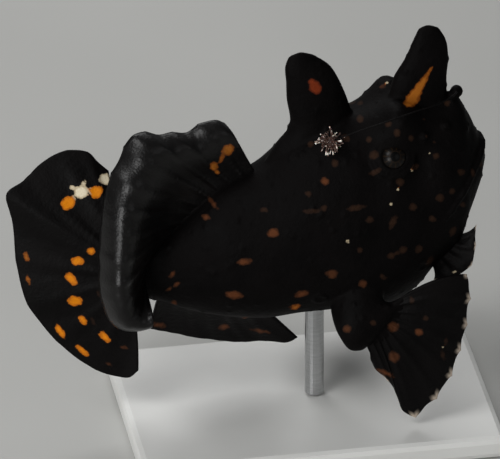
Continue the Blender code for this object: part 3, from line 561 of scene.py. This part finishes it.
def skin_material(name, fin, smoothest, roughest, gloss, uneven):
    """Wet fish skin: a black, slimy surface with fine grains, and marks from the piece's own fields: pigment spots,
    the darker tones painted darker as painted shade, and small white dots that are painted glints.
    """
    made, tree, shader = new_material(name)
    place = add(tree, "ShaderNodeTexCoord").outputs["Object"]
    ragged = add(tree, "ShaderNodeTexNoise", Vector=place, Scale=per_mm(0.6), Detail=3.0).outputs["Fac"]
    cloud = add(tree, "ShaderNodeTexNoise", Vector=place, Scale=per_mm(4.0), Detail=4.0).outputs["Fac"]
    field = add(tree, "ShaderNodeAttribute", {"attribute_name": "mark"}).outputs["Fac"]
    tone = add(tree, "ShaderNodeAttribute", {"attribute_name": "tone"}).outputs["Fac"]

    ragged_edge = add(tree, "ShaderNodeMath", {"operation": "MULTIPLY_ADD"}, in_0=ragged, in_1=0.5, in_2=-0.25)
    depth = add(tree, "ShaderNodeMath", {"operation": "ADD"}, in_0=field, in_1=ragged_edge.outputs[0])
    mask = add(tree, "ShaderNodeMapRange", {"interpolation_type": "SMOOTHSTEP"}, Value=depth.outputs[0],
               From_Min=-0.05, From_Max=0.09)
    heart = add(tree, "ShaderNodeMapRange", {"interpolation_type": "SMOOTHSTEP"}, Value=depth.outputs[0],
                From_Min=0.06, From_Max=0.34)

    black = ramp(tree, cloud, ((0.3, linear("#040303")), (0.7, linear("#090707"))))
    # Rim and core colours by tone. The tones from dull to orange, for the spots of head and body, are real spots
    # painted darker than their pigment: painted shade of the body, which lies in shade. The bright tone of the tail
    # is not darkened. The palest tone colours the real white spots and the painted glints alike.
    rim = ramp(tree, tone, ((0.0, linear("#20140e")), (0.2, linear("#361e11")), (0.4, linear("#4a1d0f")),
                            (0.6, linear("#703b10")), (0.8, linear("#b0600f")), (0.97, linear("#b9a98c"))))
    core = ramp(tree, tone, ((0.0, linear("#2b1c13")), (0.2, linear("#55301b")), (0.4, linear("#6e2b14")),
                             (0.6, linear("#9a5a1b")), (0.8, linear("#d67d09")), (0.97, linear("#dfd3b8"))))
    pigment = add(tree, "ShaderNodeMix", {"data_type": "RGBA"}, in_0=heart.outputs[0], in_6=rim, in_7=core)
    skin = add(tree, "ShaderNodeMix", {"data_type": "RGBA"}, in_0=mask.outputs[0], in_6=black,
               in_7=pigment.outputs[2])
    colour = skin.outputs[2]
    if fin:
        tip = add(tree, "ShaderNodeAttribute", {"attribute_name": "tip"}).outputs["Fac"]
        pale = add(tree, "ShaderNodeMix", {"data_type": "RGBA"}, in_0=tip, in_6=colour, in_7=linear("#c9b9a8"))
        colour = pale.outputs[2]
    tree.links.new(colour, shader.inputs["Base Color"])

    wet = add(tree, "ShaderNodeMapRange", Value=cloud, From_Min=0.3, From_Max=0.7, To_Min=smoothest,
              To_Max=roughest)
    tree.links.new(wet.outputs[0], shader.inputs["Roughness"])
    shader.inputs["Specular IOR Level"].default_value = gloss
    shader.inputs["IOR"].default_value = 1.38

    grain = add(tree, "ShaderNodeTexVoronoi", Vector=place, Scale=per_mm(0.32)).outputs["Distance"]
    folds = add(tree, "ShaderNodeTexNoise", Vector=place, Scale=per_mm(1.4), Detail=5.0).outputs["Fac"]
    first = add(tree, "ShaderNodeBump", Strength=0.35, Distance=0.00006, Height=grain)
    second = add(tree, "ShaderNodeBump", Strength=uneven, Distance=0.00022, Height=folds, Normal=first.outputs[0])
    surface = second.outputs[0]
    if fin:
        lines = add(tree, "ShaderNodeUVMap", {"uv_map": "fin"}).outputs["UV"]
        parts = add(tree, "ShaderNodeSeparateXYZ", Vector=lines)
        joint = add(tree, "ShaderNodeMath", {"operation": "SINE"},
                    in_0=add(tree, "ShaderNodeMath", {"operation": "MULTIPLY"}, in_0=parts.outputs["Y"],
                             in_1=2.0 * math.pi / RAY_JOINT).outputs[0])
        ray = add(tree, "ShaderNodeAttribute", {"attribute_name": "ray"}).outputs["Fac"]
        height = add(tree, "ShaderNodeMath", {"operation": "MULTIPLY"}, in_0=joint.outputs[0], in_1=ray)
        third = add(tree, "ShaderNodeBump", Strength=0.12, Distance=0.00005, Height=height.outputs[0],
                    Normal=surface)
        surface = third.outputs[0]
    tree.links.new(surface, shader.inputs["Normal"])
    return made


def eye_material():
    """A fish's eye under its clear cornea: dark iris with thin spokes, round pupil, hard wet gloss."""
    made, tree, shader = new_material("eye_cornea_over_iris")
    lines = add(tree, "ShaderNodeUVMap", {"uv_map": "eye"}).outputs["UV"]
    parts = add(tree, "ShaderNodeSeparateXYZ", Vector=lines)
    turn = add(tree, "ShaderNodeMath", {"operation": "MULTIPLY"}, in_0=parts.outputs["X"], in_1=2.0 * math.pi * 11)
    wave = add(tree, "ShaderNodeMath", {"operation": "SINE"}, in_0=turn.outputs[0])
    spokes = add(tree, "ShaderNodeMapRange", Value=wave.outputs[0], From_Min=0.55, From_Max=0.98)
    ground = ramp(tree, parts.outputs["Y"], ((0.0, linear("#020202")), (0.115, linear("#020202")),
                                             (0.125, linear("#22170d")), (0.145, linear("#0b0705")),
                                             (0.30, linear("#090605")), (0.36, linear("#040303"))))
    zone = ramp(tree, parts.outputs["Y"], ((0.14, (0, 0, 0, 1)), (0.17, (1, 1, 1, 1)),
                                           (0.26, (1, 1, 1, 1)), (0.32, (0, 0, 0, 1))))
    shown = add(tree, "ShaderNodeMath", {"operation": "MULTIPLY"}, in_0=spokes.outputs[0], in_1=zone)
    mixed = add(tree, "ShaderNodeMix", {"data_type": "RGBA"}, in_0=shown.outputs[0], in_6=ground,
                in_7=linear("#20160c"))
    tree.links.new(mixed.outputs[2], shader.inputs["Base Color"])
    shader.inputs["Roughness"].default_value = 0.34
    shader.inputs["Specular IOR Level"].default_value = 0.12
    shader.inputs["Coat Weight"].default_value = 0.045
    shader.inputs["Coat Roughness"].default_value = 0.06
    shader.inputs["Coat IOR"].default_value = 1.38
    return made


def rod_material():
    """The lure's rod: thin dark skin, faintly mottled, hardly brighter than the head behind it."""
    made, tree, shader = new_material("lure_rod_skin")
    place = add(tree, "ShaderNodeTexCoord").outputs["Object"]
    cloud = add(tree, "ShaderNodeTexNoise", Vector=place, Scale=per_mm(0.6), Detail=3.0).outputs["Fac"]
    tree.links.new(ramp(tree, cloud, ((0.35, linear("#040303")), (0.65, linear("#090707")))),
                   shader.inputs["Base Color"])
    bump = add(tree, "ShaderNodeBump", Strength=0.4, Distance=0.00004, Height=cloud)
    tree.links.new(bump.outputs[0], shader.inputs["Normal"])
    shader.inputs["Roughness"].default_value = 0.65
    shader.inputs["Specular IOR Level"].default_value = 0.08
    return made


def tuft_material(centre):
    """The lure's tuft: red-brown flesh at its heart, with pale, slightly see-through tips."""
    made, tree, shader = new_material("lure_tuft_flesh")
    place = add(tree, "ShaderNodeTexCoord").outputs["Object"]
    away = add(tree, "ShaderNodeVectorMath", {"operation": "DISTANCE"}, in_0=place, in_1=tuple(centre))
    patches = add(tree, "ShaderNodeTexNoise", Vector=place, Scale=per_mm(0.6), Detail=1.0).outputs["Fac"]
    outward = add(tree, "ShaderNodeMapRange", Value=away.outputs["Value"], From_Min=0.8 * MM, From_Max=1.5 * MM)
    some = add(tree, "ShaderNodeMapRange", Value=patches, From_Min=0.5, From_Max=0.7)
    paleness = add(tree, "ShaderNodeMath", {"operation": "MULTIPLY"}, in_0=outward.outputs[0], in_1=some.outputs[0])
    flesh = ramp(tree, paleness.outputs[0], ((0.0, linear("#4f372f")), (0.12, linear("#6f534a")),
                                             (0.3, linear("#c9b8aa")), (0.5, linear("#f2ebe0"))))
    tree.links.new(flesh, shader.inputs["Base Color"])
    shader.inputs["Roughness"].default_value = 0.4
    shader.inputs["Subsurface Weight"].default_value = 0.2
    shader.inputs["Subsurface Radius"].default_value = (0.0006, 0.0003, 0.0002)
    return made


def enamel_material():
    """Powder-coated white base: satin, with a faint orange peel."""
    made, tree, shader = new_material("powder_coat_white_satin")
    place = add(tree, "ShaderNodeTexCoord").outputs["Object"]
    peel = add(tree, "ShaderNodeTexNoise", Vector=place, Scale=per_mm(0.6), Detail=2.0).outputs["Fac"]
    tint = add(tree, "ShaderNodeTexNoise", Vector=place, Scale=per_mm(14.0), Detail=2.0).outputs["Fac"]
    tree.links.new(ramp(tree, tint, ((0.3, linear("#d6d6d3")), (0.7, linear("#dededb")))),
                   shader.inputs["Base Color"])
    bump = add(tree, "ShaderNodeBump", Strength=0.25, Distance=0.00003, Height=peel)
    tree.links.new(bump.outputs[0], shader.inputs["Normal"])
    shader.inputs["Roughness"].default_value = 0.42
    return made


def steel_material():
    """Ground stainless rod: fine lines round it."""
    made, tree, shader = new_material("stainless_ground_rod")
    place = add(tree, "ShaderNodeTexCoord").outputs["Object"]
    squash = add(tree, "ShaderNodeMapping", Vector=place)
    squash.inputs["Scale"].default_value = (0.03, 0.03, 1.0)
    lines = add(tree, "ShaderNodeTexNoise", Vector=squash.outputs[0], Scale=per_mm(0.05), Detail=2.0)
    bump = add(tree, "ShaderNodeBump", Strength=0.3, Distance=0.00002, Height=lines.outputs["Fac"])
    tree.links.new(bump.outputs[0], shader.inputs["Normal"])
    tree.links.new(ramp(tree, lines.outputs["Fac"], ((0.3, linear("#a9aaab")), (0.7, linear("#c4c5c6")))),
                   shader.inputs["Base Color"])
    shader.inputs["Metallic"].default_value = 1.0
    shader.inputs["Roughness"].default_value = 0.3
    return made


def floor_material():
    """A pale paper sweep."""
    made, tree, shader = new_material("paper_sweep_pale")
    place = add(tree, "ShaderNodeTexCoord").outputs["Object"]
    cloud = add(tree, "ShaderNodeTexNoise", Vector=place, Scale=per_mm(60.0), Detail=2.0).outputs["Fac"]
    tree.links.new(ramp(tree, cloud, ((0.3, linear("#b4b4b1")), (0.7, linear("#babab7")))),
                   shader.inputs["Base Color"])
    shader.inputs["Roughness"].default_value = 0.85
    return made


def make_camera():
    """The photograph's view: a long lens a little above and behind the fish's right side."""
    a, e = math.radians(CAMERA_AZIMUTH), math.radians(CAMERA_ELEVATION)
    back = Vector((math.sin(a) * math.cos(e), -math.cos(a) * math.cos(e), math.sin(e)))
    up = Vector((-math.sin(a) * math.sin(e), math.cos(a) * math.sin(e), math.cos(e)))
    right = Vector((math.cos(a), math.sin(a), 0.0))
    lifted = (ORIGIN_PIXEL[1] - PHOTO_HEIGHT / 2.0) * PIXEL * MM
    shifted = (PHOTO_WIDTH / 2.0 - ORIGIN_PIXEL[0]) * PIXEL * MM
    target = to_world((0.0, 0.0, 0.0)) + up * lifted + right * shifted
    data = bpy.data.cameras.new("photo_camera")
    data.sensor_width = SENSOR
    data.lens = SENSOR * CAMERA_AWAY / (PHOTO_WIDTH * PIXEL * MM)
    data.clip_start = 0.01
    camera = bpy.data.objects.new("photo_camera", data)
    camera.location = target + back * CAMERA_AWAY
    camera.rotation_mode = "QUATERNION"
    camera.rotation_quaternion = Matrix((right, up, back)).transposed().to_quaternion()
    bpy.context.scene.collection.objects.link(camera)
    bpy.context.scene.camera = camera
    return camera.location.copy(), right, up, back


def to_pixels(points):
    """Where world points fall in the photograph's frame."""
    place, right, up, back = VIEW
    off = points - numpy.array(place)
    away = -(off @ numpy.array(back))
    scale = CAMERA_AWAY / (PIXEL * MM) / away
    return numpy.stack((PHOTO_WIDTH / 2.0 + (off @ numpy.array(right)) * scale,
                        PHOTO_HEIGHT / 2.0 - (off @ numpy.array(up)) * scale), axis=1)


def sight_line(pixel):
    """The camera's place and the direction in which it sees a pixel."""
    place, right, up, back = VIEW
    across = (pixel[0] - PHOTO_WIDTH / 2.0) * PIXEL * MM
    high = (PHOTO_HEIGHT / 2.0 - pixel[1]) * PIXEL * MM
    return place, (right * across + up * high - back * CAMERA_AWAY).normalized()


def make_skin(finish):
    """One skin over body, arms and spines, with the roots of the fins, by a fine voxel remesh."""
    body = body_shape()
    tree = BVHTree.FromBMesh(body)
    whole = bmesh.new()
    pour_into(whole, body)

    shares = [-0.96 + 1.92 * k / 60 for k in range(61)]
    for side in (-1.0, 1.0):
        path = []
        for share in shares:
            point, normal, ahead = mouth_line(tree, share)
            path.append(point - normal * LIP_RADIUS * 0.55 + ahead * side * (LIP_RADIUS + 0.12))
        radii = [LIP_RADIUS * (1.0 - 0.4 * abs(share) ** 3) for share in shares]
        pour_into(whole, tube(path, radii, 14))

    for side in (-1.0, 1.0):
        point, normal = skin_at(tree, EYE_AT[0], EYE_AT[1], side)
        pour_into(whole, ring_shape(point - normal * 0.12, normal, EYE_RADIUS * 0.98, LID_RADIUS))
        pour_into(whole, ring_shape(point - normal * 0.45, normal, EYE_RADIUS * 1.38, LID_RADIUS * 1.3))
        for x, z in NOSTRILS_AT:
            place, out = skin_at(tree, x, z, side)
            path = [place - out * 0.6, place + out * NOSTRIL_HEIGHT * 0.3]
            pour_into(whole, tube(path, [NOSTRIL_RADIUS * 1.4, NOSTRIL_RADIUS * 0.9], 16))
            pour_into(whole, ring_shape(place + out * NOSTRIL_HEIGHT * 0.5, out, NOSTRIL_RADIUS * 0.62, 0.19, 24, 10))
        point, normal = skin_at(tree, GILL_PORE_AT[0], GILL_PORE_AT[1], side)
        pour_into(whole, ring_shape(point, normal, GILL_PORE_RADIUS, 0.24, 28, 10))

    pour_into(whole, spine_shape(SPINE_TWO, SPINE_TWO_TIP))
    pour_into(whole, spine_shape(SPINE_THREE, SPINE_THREE_TIP))
    pour_into(whole, arm_shape(ARM_RIGHT, ARM_RIGHT_END))
    pour_into(whole, arm_shape(ARM_LEFT, ARM_LEFT_END))
    pour_into(whole, ball(ROD_PATH[0], (ROD_KNOB_RADIUS, ROD_KNOB_RADIUS, ROD_KNOB_RADIUS)))
    pour_into(whole, tube((ROD_FOOT, ROD_PATH[0]), (ROD_KNOB_RADIUS, ROD_KNOB_RADIUS * 0.7), 24))
    for fin in (DORSAL, CAUDAL, ANAL, HAND_RIGHT, HAND_LEFT, FOOT_RIGHT, FOOT_LEFT):
        pour_into(whole, fin_shape(**fin, reach=STUB_REACH, stub=True)[0])

    skin = add_object("skin", whole, finish)
    remesh = skin.modifiers.new("one_skin", "REMESH")
    remesh.mode = "VOXEL"
    remesh.voxel_size = VOXEL * MM
    even = skin.modifiers.new("even", "SMOOTH")
    even.factor = 0.5
    even.iterations = 3
    freeze(skin)
    skin.data.shade_smooth()
    raise_warts(skin)
    return skin


def raise_warts(skin):
    """Small soft warts and a slow unevenness, raised in the skin along its normals."""
    mesh = skin.data
    count = len(mesh.vertices)
    places = numpy.empty(count * 3, dtype=numpy.float32)
    mesh.vertices.foreach_get("co", places)
    places = places.reshape(-1, 3)
    normals = numpy.empty(count * 3, dtype=numpy.float32)
    mesh.vertex_normals.foreach_get("vector", normals)
    normals = normals.reshape(-1, 3)
    raised = numpy.array([noise.noise(Vector(p) * per_mm(3.2)) for p in places]) * 0.07
    tree = KDTree(count)
    for i, place in enumerate(places):
        tree.insert(Vector(place), i)
    tree.balance()
    chance = random.Random(21)
    for _ in range(WARTS):
        centre = Vector(places[chance.randrange(count)])
        reach = chance.uniform(0.25, 0.6)
        height = reach * chance.uniform(0.16, 0.34)
        for _, i, away in tree.find_range(centre, reach * 1.8 * MM):
            raised[i] += height * math.exp(-((away / MM / reach) ** 2) * 2.5)
    places += normals * (raised * MM)[:, None]
    mesh.vertices.foreach_set("co", places.ravel())
    mesh.update()


def make_fin(name, node, fin, finish, pale_tips=False, **extra):
    """A fin piece with its rays, its own fields and a UV map in rays and millimetres."""
    bm, facts = fin_shape(**fin, **extra)
    obj = add_object(name, bm, finish)
    mesh = obj.data
    for field, values in (("ray", [fact[0] for fact in facts]),
                          ("tip", [tip_share(fact) if pale_tips else 0.0 for fact in facts])):
        made = mesh.attributes.new(field, "FLOAT", "POINT")
        made.data.foreach_set("value", values)
    uv = mesh.uv_layers.new(name="fin")
    for loop in mesh.loops:
        fact = facts[loop.vertex_index]
        uv.data[loop.index].uv = (fact[2], fact[3])
    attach(obj, "root")
    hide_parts(node)
    return obj


def tip_share(fact):
    """How pale the last stretch of a ray is."""
    ridge, along = fact[0], fact[1]
    return max(0.0, min(1.0, (along - 0.94) / 0.05)) * max(0.0, min(1.0, (ridge - 0.35) / 0.4))


def make_eye(name, node, tree, side, finish):
    """An eyeball whose UV map runs round the eye's axis and away from it."""
    point, normal = skin_at(tree, EYE_AT[0], EYE_AT[1], side)
    centre = point - normal * EYE_DEPTH
    turn = normal.to_track_quat("Z", "Y").to_matrix()
    bm = bmesh.new()
    bmesh.ops.create_uvsphere(bm, u_segments=72, v_segments=48, radius=EYE_RADIUS)
    layer = bm.loops.layers.uv.new("eye")
    for face in bm.faces:
        middle = face.calc_center_median()
        middle_turn = math.atan2(middle.y, middle.x)
        for loop in face.loops:
            co = loop.vert.co
            angle = math.atan2(co.y, co.x) if math.hypot(co.x, co.y) > 1e-5 else middle_turn
            while angle - middle_turn > math.pi:
                angle -= 2.0 * math.pi
            while angle - middle_turn < -math.pi:
                angle += 2.0 * math.pi
            loop[layer].uv = (angle / (2.0 * math.pi), math.acos(max(-1.0, min(1.0, co.z / EYE_RADIUS))) / math.pi)
    for vertex in bm.verts:
        vertex.co = centre + turn @ vertex.co
    obj = add_object(name, bm, finish)
    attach(obj, "root")
    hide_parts(node)
    return obj


def filament_tree(finish):
    """Geometry nodes that set thin, bent filaments all over a core and join them into one mesh."""
    tree = bpy.data.node_groups.new("lure_filaments", "GeometryNodeTree")
    face = tree.interface
    face.new_socket("Geometry", in_out="INPUT", socket_type="NodeSocketGeometry")
    for name, kind in (("Count", "NodeSocketInt"), ("Reach", "NodeSocketFloat"), ("Thickness", "NodeSocketFloat"),
                       ("Seed", "NodeSocketInt")):
        face.new_socket(name, in_out="INPUT", socket_type=kind)
    face.new_socket("Geometry", in_out="OUTPUT", socket_type="NodeSocketGeometry")
    start = tree.nodes.new("NodeGroupInput")
    end = tree.nodes.new("NodeGroupOutput")
    core = start.outputs["Geometry"]
    points = add(tree, "GeometryNodeDistributePointsOnFaces", {"distribute_method": "RANDOM"}, Mesh=core,
                 Density=per_mm(1.0) ** 2 * 22.0, Seed=start.outputs["Seed"])
    order = add(tree, "GeometryNodeInputIndex")
    spare = add(tree, "FunctionNodeCompare", {"data_type": "INT", "operation": "GREATER_EQUAL"})
    tree.links.new(order.outputs[0], spare.inputs[2])
    tree.links.new(start.outputs["Count"], spare.inputs[3])
    fewer = add(tree, "GeometryNodeDeleteGeometry", {"domain": "POINT"}, Geometry=points.outputs["Points"],
                Selection=spare.outputs[0])
    line = add(tree, "GeometryNodeCurvePrimitiveBezierSegment", Resolution=6, Start=(0.0, 0.0, 0.0),
               Start_Handle=(0.0, 0.0, 0.35), End_Handle=(0.12, 0.05, 0.7), End=(0.34, 0.1, 1.0))
    sized = add(tree, "GeometryNodeTransform", Geometry=line.outputs[0])
    reach = add(tree, "ShaderNodeCombineXYZ", X=start.outputs["Reach"], Y=start.outputs["Reach"],
                Z=start.outputs["Reach"])
    tree.links.new(reach.outputs[0], sized.inputs["Scale"])
    along = add(tree, "GeometryNodeSplineParameter")
    taper = add(tree, "ShaderNodeMapRange", Value=along.outputs["Factor"], To_Min=0.6, To_Max=1.5)
    width = add(tree, "ShaderNodeMath", {"operation": "MULTIPLY"}, in_0=taper.outputs[0],
                in_1=start.outputs["Thickness"])
    sides = add(tree, "GeometryNodeCurvePrimitiveCircle", {"mode": "RADIUS"}, Resolution=6, Radius=1.0)
    shaped = add(tree, "GeometryNodeSetCurveRadius", Curve=sized.outputs[0], Radius=width.outputs[0])
    skin = tree.nodes.new("GeometryNodeCurveToMesh")
    tree.links.new(shaped.outputs[0], skin.inputs["Curve"])
    tree.links.new(sides.outputs[0], skin.inputs["Profile Curve"])
    skin.inputs["Fill Caps"].default_value = True
    if "Scale" in skin.inputs:
        radius = add(tree, "GeometryNodeInputRadius")
        tree.links.new(radius.outputs[0], skin.inputs["Scale"])
    spin = add(tree, "FunctionNodeRandomValue", {"data_type": "FLOAT"})
    spin.inputs[3].default_value = 2.0 * math.pi
    turn = add(tree, "FunctionNodeAxisAngleToRotation", Axis=(0.0, 0.0, 1.0))
    tree.links.new(spin.outputs[1], turn.inputs["Angle"])
    both = add(tree, "FunctionNodeRotateRotation", {"rotation_space": "LOCAL"},
               Rotation=points.outputs["Rotation"], Rotate_By=turn.outputs[0])
    size = add(tree, "FunctionNodeRandomValue", {"data_type": "FLOAT"})
    size.inputs[2].default_value, size.inputs[3].default_value = 0.3, 1.0
    set_out = add(tree, "GeometryNodeInstanceOnPoints", Points=fewer.outputs[0], Instance=skin.outputs[0],
                  Rotation=both.outputs[0])
    tree.links.new(size.outputs[1], set_out.inputs["Scale"])
    real = add(tree, "GeometryNodeRealizeInstances", Geometry=set_out.outputs[0])
    join = tree.nodes.new("GeometryNodeJoinGeometry")
    tree.links.new(core, join.inputs[0])
    tree.links.new(real.outputs[0], join.inputs[0])
    finished = add(tree, "GeometryNodeSetMaterial", Geometry=join.outputs[0], Material=finish)
    tree.links.new(finished.outputs[0], end.inputs[0])
    return tree


def set_inputs(modifier, values):
    """Sets a nodes modifier's inputs by their names."""
    for item in modifier.node_group.interface.items_tree:
        if item.item_type == "SOCKET" and item.in_out == "INPUT" and item.name in values:
            modifier[item.identifier] = values[item.name]


def make_lure(finish_rod, finish_tuft):
    """The thin rod laid back over the head, and the pale tuft at its end."""
    count = 60
    path = [smooth(ROD_PATH, k / (count - 1)) for k in range(count)]
    radii = [ROD_RADIUS * (1.6 - 0.6 * min(k / 12.0, 1.0)) for k in range(count)]
    rod = add_object("lure_rod", tube(path, radii, 10), finish_rod)
    core = add_object("lure_tuft", ball(path[-1], (TUFT_RADIUS, TUFT_RADIUS * 0.8, TUFT_RADIUS)), finish_tuft)
    nodes = core.modifiers.new("filaments", "NODES")
    nodes.node_group = filament_tree(finish_tuft)
    set_inputs(nodes, {"Count": TUFT_FILAMENTS, "Reach": TUFT_REACH * MM, "Thickness": 0.078 * MM, "Seed": 4})
    freeze(core)
    core.data.shade_smooth()
    for piece in (rod, core):
        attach(piece, "root")
    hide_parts("illicium")


def add_marks(pieces, skin):
    """Gives each piece its mark field, in millimetres inside a mark's edge, and the mark's tone. The marks are
    pigment spots, with painted glints among the small white ones.
    """
    data = {}
    for obj in pieces:
        count = len(obj.data.vertices)
        places = numpy.empty(count * 3, dtype=numpy.float32)
        obj.data.vertices.foreach_get("co", places)
        places = places.reshape(-1, 3)
        data[obj.name] = {"obj": obj, "co": places, "px": to_pixels(places), "mark": numpy.full(count, -1.0),
                          "tone": numpy.zeros(count), "tree": tree_of(obj)}

    def lay(entry, near, field, tone):
        better = near & (field > entry["mark"])
        entry["mark"][better] = field[better]
        entry["tone"][better] = tone

    twins = []
    for kind, marks in MARKS.items():
        for mark in marks:
            u, v = mark[0], mark[1]
            long, short, turn = (mark[2], mark[2], 0.0) if len(mark) == 3 else mark[2:5]
            entry, hit = first_hit(data, (u, v))
            if entry is None:
                continue
            a = math.radians(turn)
            for other in data.values():
                if other is not entry and skin not in (other["obj"], entry["obj"]):
                    continue
                du, dv = other["px"][:, 0] - u, other["px"][:, 1] - v
                along = du * math.cos(a) + dv * math.sin(a)
                across = -du * math.sin(a) + dv * math.cos(a)
                off = numpy.sqrt((along / long) ** 2 + (across / short) ** 2)
                away = numpy.linalg.norm(other["co"] - numpy.array(hit), axis=1) / MM
                field = numpy.minimum((1.0 - off) * min(long, short) * PIXEL,
                                      MARK_SPREAD * max(long, short) * PIXEL - away)
                lay(other, away < MARK_DEPTH, field, TONES[kind])
            if entry["obj"] is skin:
                twins.append((hit, math.sqrt(long * short) * PIXEL, TONES[kind]))

    start, finish = (numpy.array(point, dtype=float) for point in STRIPE)
    entry, hit = first_hit(data, tuple((start + finish) / 2.0))
    if entry is not None:
        run = finish - start
        share = numpy.clip(((entry["px"] - start) @ run) / (run @ run), 0.0, 1.0)
        off = numpy.linalg.norm(entry["px"] - start - share[:, None] * run, axis=1)
        rounding = numpy.clip((share - STRIPE_WIDEST) / (1.0 - STRIPE_WIDEST), 0.0, 1.0)
        width = STRIPE_HALF_WIDTH * (0.12 + 0.88 * numpy.minimum(share / STRIPE_WIDEST, 1.0)) * numpy.sqrt(1.0 - rounding ** 2)
        fade = 1.0 - 0.6 * numpy.clip((share - 0.5) / 0.5, 0.0, 1.0)
        on_shelf = numpy.clip(STRIPE_SHELF - entry["co"][:, 1] / MM, 0.0, None)
        near = numpy.linalg.norm(entry["co"] - numpy.array(hit), axis=1) < 5.0 * MM
        near &= off < STRIPE_HALF_WIDTH * 2.0
        for i in numpy.nonzero(near)[0]:
            seen = entry["tree"].ray_cast(VIEW[0], (Vector(entry["co"][i]) - VIEW[0]).normalized())[0]
            near[i] = seen is not None and (seen - Vector(entry["co"][i])).length < 0.4 * MM
        lay(entry, near, (width - off) * fade * PIXEL - on_shelf * 0.5, TONES["amber"])

    # Each skin mark on the right side gets a twin on the left, painted glints and painted shade included
    chance = random.Random(5)
    entry = data[skin.name]
    for place, radius, tone in twins:
        jitter = Vector((chance.uniform(-1.2, 1.2), 0.0, chance.uniform(-1.2, 1.2))) * MM
        twin = Vector((place[0], -place[1], place[2])) + jitter
        centre = entry["tree"].find_nearest(twin)[0]
        away = numpy.linalg.norm(entry["co"] - numpy.array(centre), axis=1)
        if place[1] < -2.0 * MM:
            lay(entry, away < MARK_DEPTH * MM, radius * chance.uniform(0.8, 1.15) - away / MM, tone)
    for obj in pieces:
        if obj.name != "fin_hand_left":
            continue
        entry = data[obj.name]
        for _ in range(7):
            centre = entry["co"][chance.randrange(len(entry["co"]))]
            away = numpy.linalg.norm(entry["co"] - centre, axis=1)
            lay(entry, away < MARK_DEPTH * MM, chance.uniform(0.4, 0.75) - away / MM, TONES["orange"])

    for entry in data.values():
        for field in ("mark", "tone"):
            made = entry["obj"].data.attributes.new(field, "FLOAT", "POINT")
            made.data.foreach_set("value", entry[field].astype(numpy.float32))


def tree_of(obj):
    bm = bmesh.new()
    bm.from_mesh(obj.data)
    tree = BVHTree.FromBMesh(bm)
    bm.free()
    return tree


def first_hit(data, pixel):
    """The piece that the camera sees first at a pixel, and where."""
    place, direction = sight_line(pixel)
    best, entry, where = 1e9, None, None
    for candidate in data.values():
        hit = candidate["tree"].ray_cast(place, direction)
        if hit[0] is not None and hit[3] < best:
            best, entry, where = hit[3], candidate, hit[0]
    return entry, where


def make_stage():
    """Pale paper floor and soft studio light."""
    bm = bmesh.new()
    bmesh.ops.create_grid(bm, x_segments=8, y_segments=8, size=2.0)
    mesh = bpy.data.meshes.new("studio_floor")
    bm.to_mesh(mesh)
    bm.free()
    mesh.materials.append(floor_material())
    floor = bpy.data.objects.new("studio_floor", mesh)
    bpy.context.scene.collection.objects.link(floor)

    world = bpy.data.worlds.new("soft_room")
    world.use_nodes = True
    world.node_tree.nodes["Background"].inputs["Color"].default_value = linear("#e9ebec")
    world.node_tree.nodes["Background"].inputs["Strength"].default_value = 0.17
    bpy.context.scene.world = world
    bpy.context.scene.view_settings.view_transform = "Standard"
    for name, place, size, power in (("key_left", (-0.30, -0.14, 0.40), 0.22, 1.05),
                                     ("low_left", (-0.30, -0.35, 0.08), 0.18, 1.0),
                                     ("fill_right", (0.26, -0.45, 0.26), 0.30, 0.18),
                                     ("back_high", (-0.05, 0.40, 0.45), 0.40, 1.5)):
        light = bpy.data.lights.new(name, "AREA")
        light.energy = power
        light.size = size
        lamp = bpy.data.objects.new(name, light)
        lamp.location = place
        lamp.rotation_mode = "QUATERNION"
        lamp.rotation_quaternion = (Vector(place) - Vector((0.0, 0.0, 0.03))).to_track_quat("Z", "Y")
        bpy.context.scene.collection.objects.link(lamp)


def dress_stand():
    for node, finish in (("stand_base", enamel_material()), ("stand_rod", steel_material())):
        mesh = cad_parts[node].data
        mesh.materials.clear()
        mesh.materials.append(finish)


VIEW = make_camera()
make_stage()
dress_stand()

skin_finish = skin_material("frogfish_skin_wet_black", False, 0.55, 0.72, 0.07, 0.6)
fin_finish = skin_material("frogfish_fin_wet_black", True, 0.5, 0.66, 0.12, 0.5)
gloss_finish = skin_material("frogfish_dorsal_fin_slimy", True, 0.3, 0.38, 0.42, 0.15)
skin = make_skin(skin_finish)
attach(skin, "root")
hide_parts("head", "lower_jaw", "torso", "tail_stalk", "arm_right", "arm_left", "dorsal_spine_2",
            "dorsal_spine_3")

fins = [
    make_fin("fin_dorsal", "dorsal_fin", DORSAL, gloss_finish, seed=11),
    make_fin("fin_caudal", "caudal_fin", CAUDAL, fin_finish, seed=12),
    make_fin("fin_anal", "anal_fin", ANAL, fin_finish, seed=13),
    make_fin("fin_hand_right", "pectoral_fin_right", HAND_RIGHT, fin_finish, True, notch=0.035, seed=14),
    make_fin("fin_hand_left", "pectoral_fin_left", HAND_LEFT, fin_finish, True, notch=0.035, seed=15),
    make_fin("fin_foot_right", "pelvic_fin_right", FOOT_RIGHT, fin_finish, True, notch=0.06, seed=16),
    make_fin("fin_foot_left", "pelvic_fin_left", FOOT_LEFT, fin_finish, True, notch=0.06, seed=17),
]
add_marks([skin, *fins], skin)

body = body_shape()
body_tree = BVHTree.FromBMesh(body)
body.free()
eye_finish = eye_material()
make_eye("eyeball_right", "eye_right", body_tree, -1.0, eye_finish)
make_eye("eyeball_left", "eye_left", body_tree, 1.0, eye_finish)
make_lure(rod_material(), tuft_material(to_world(ROD_PATH[-1])))
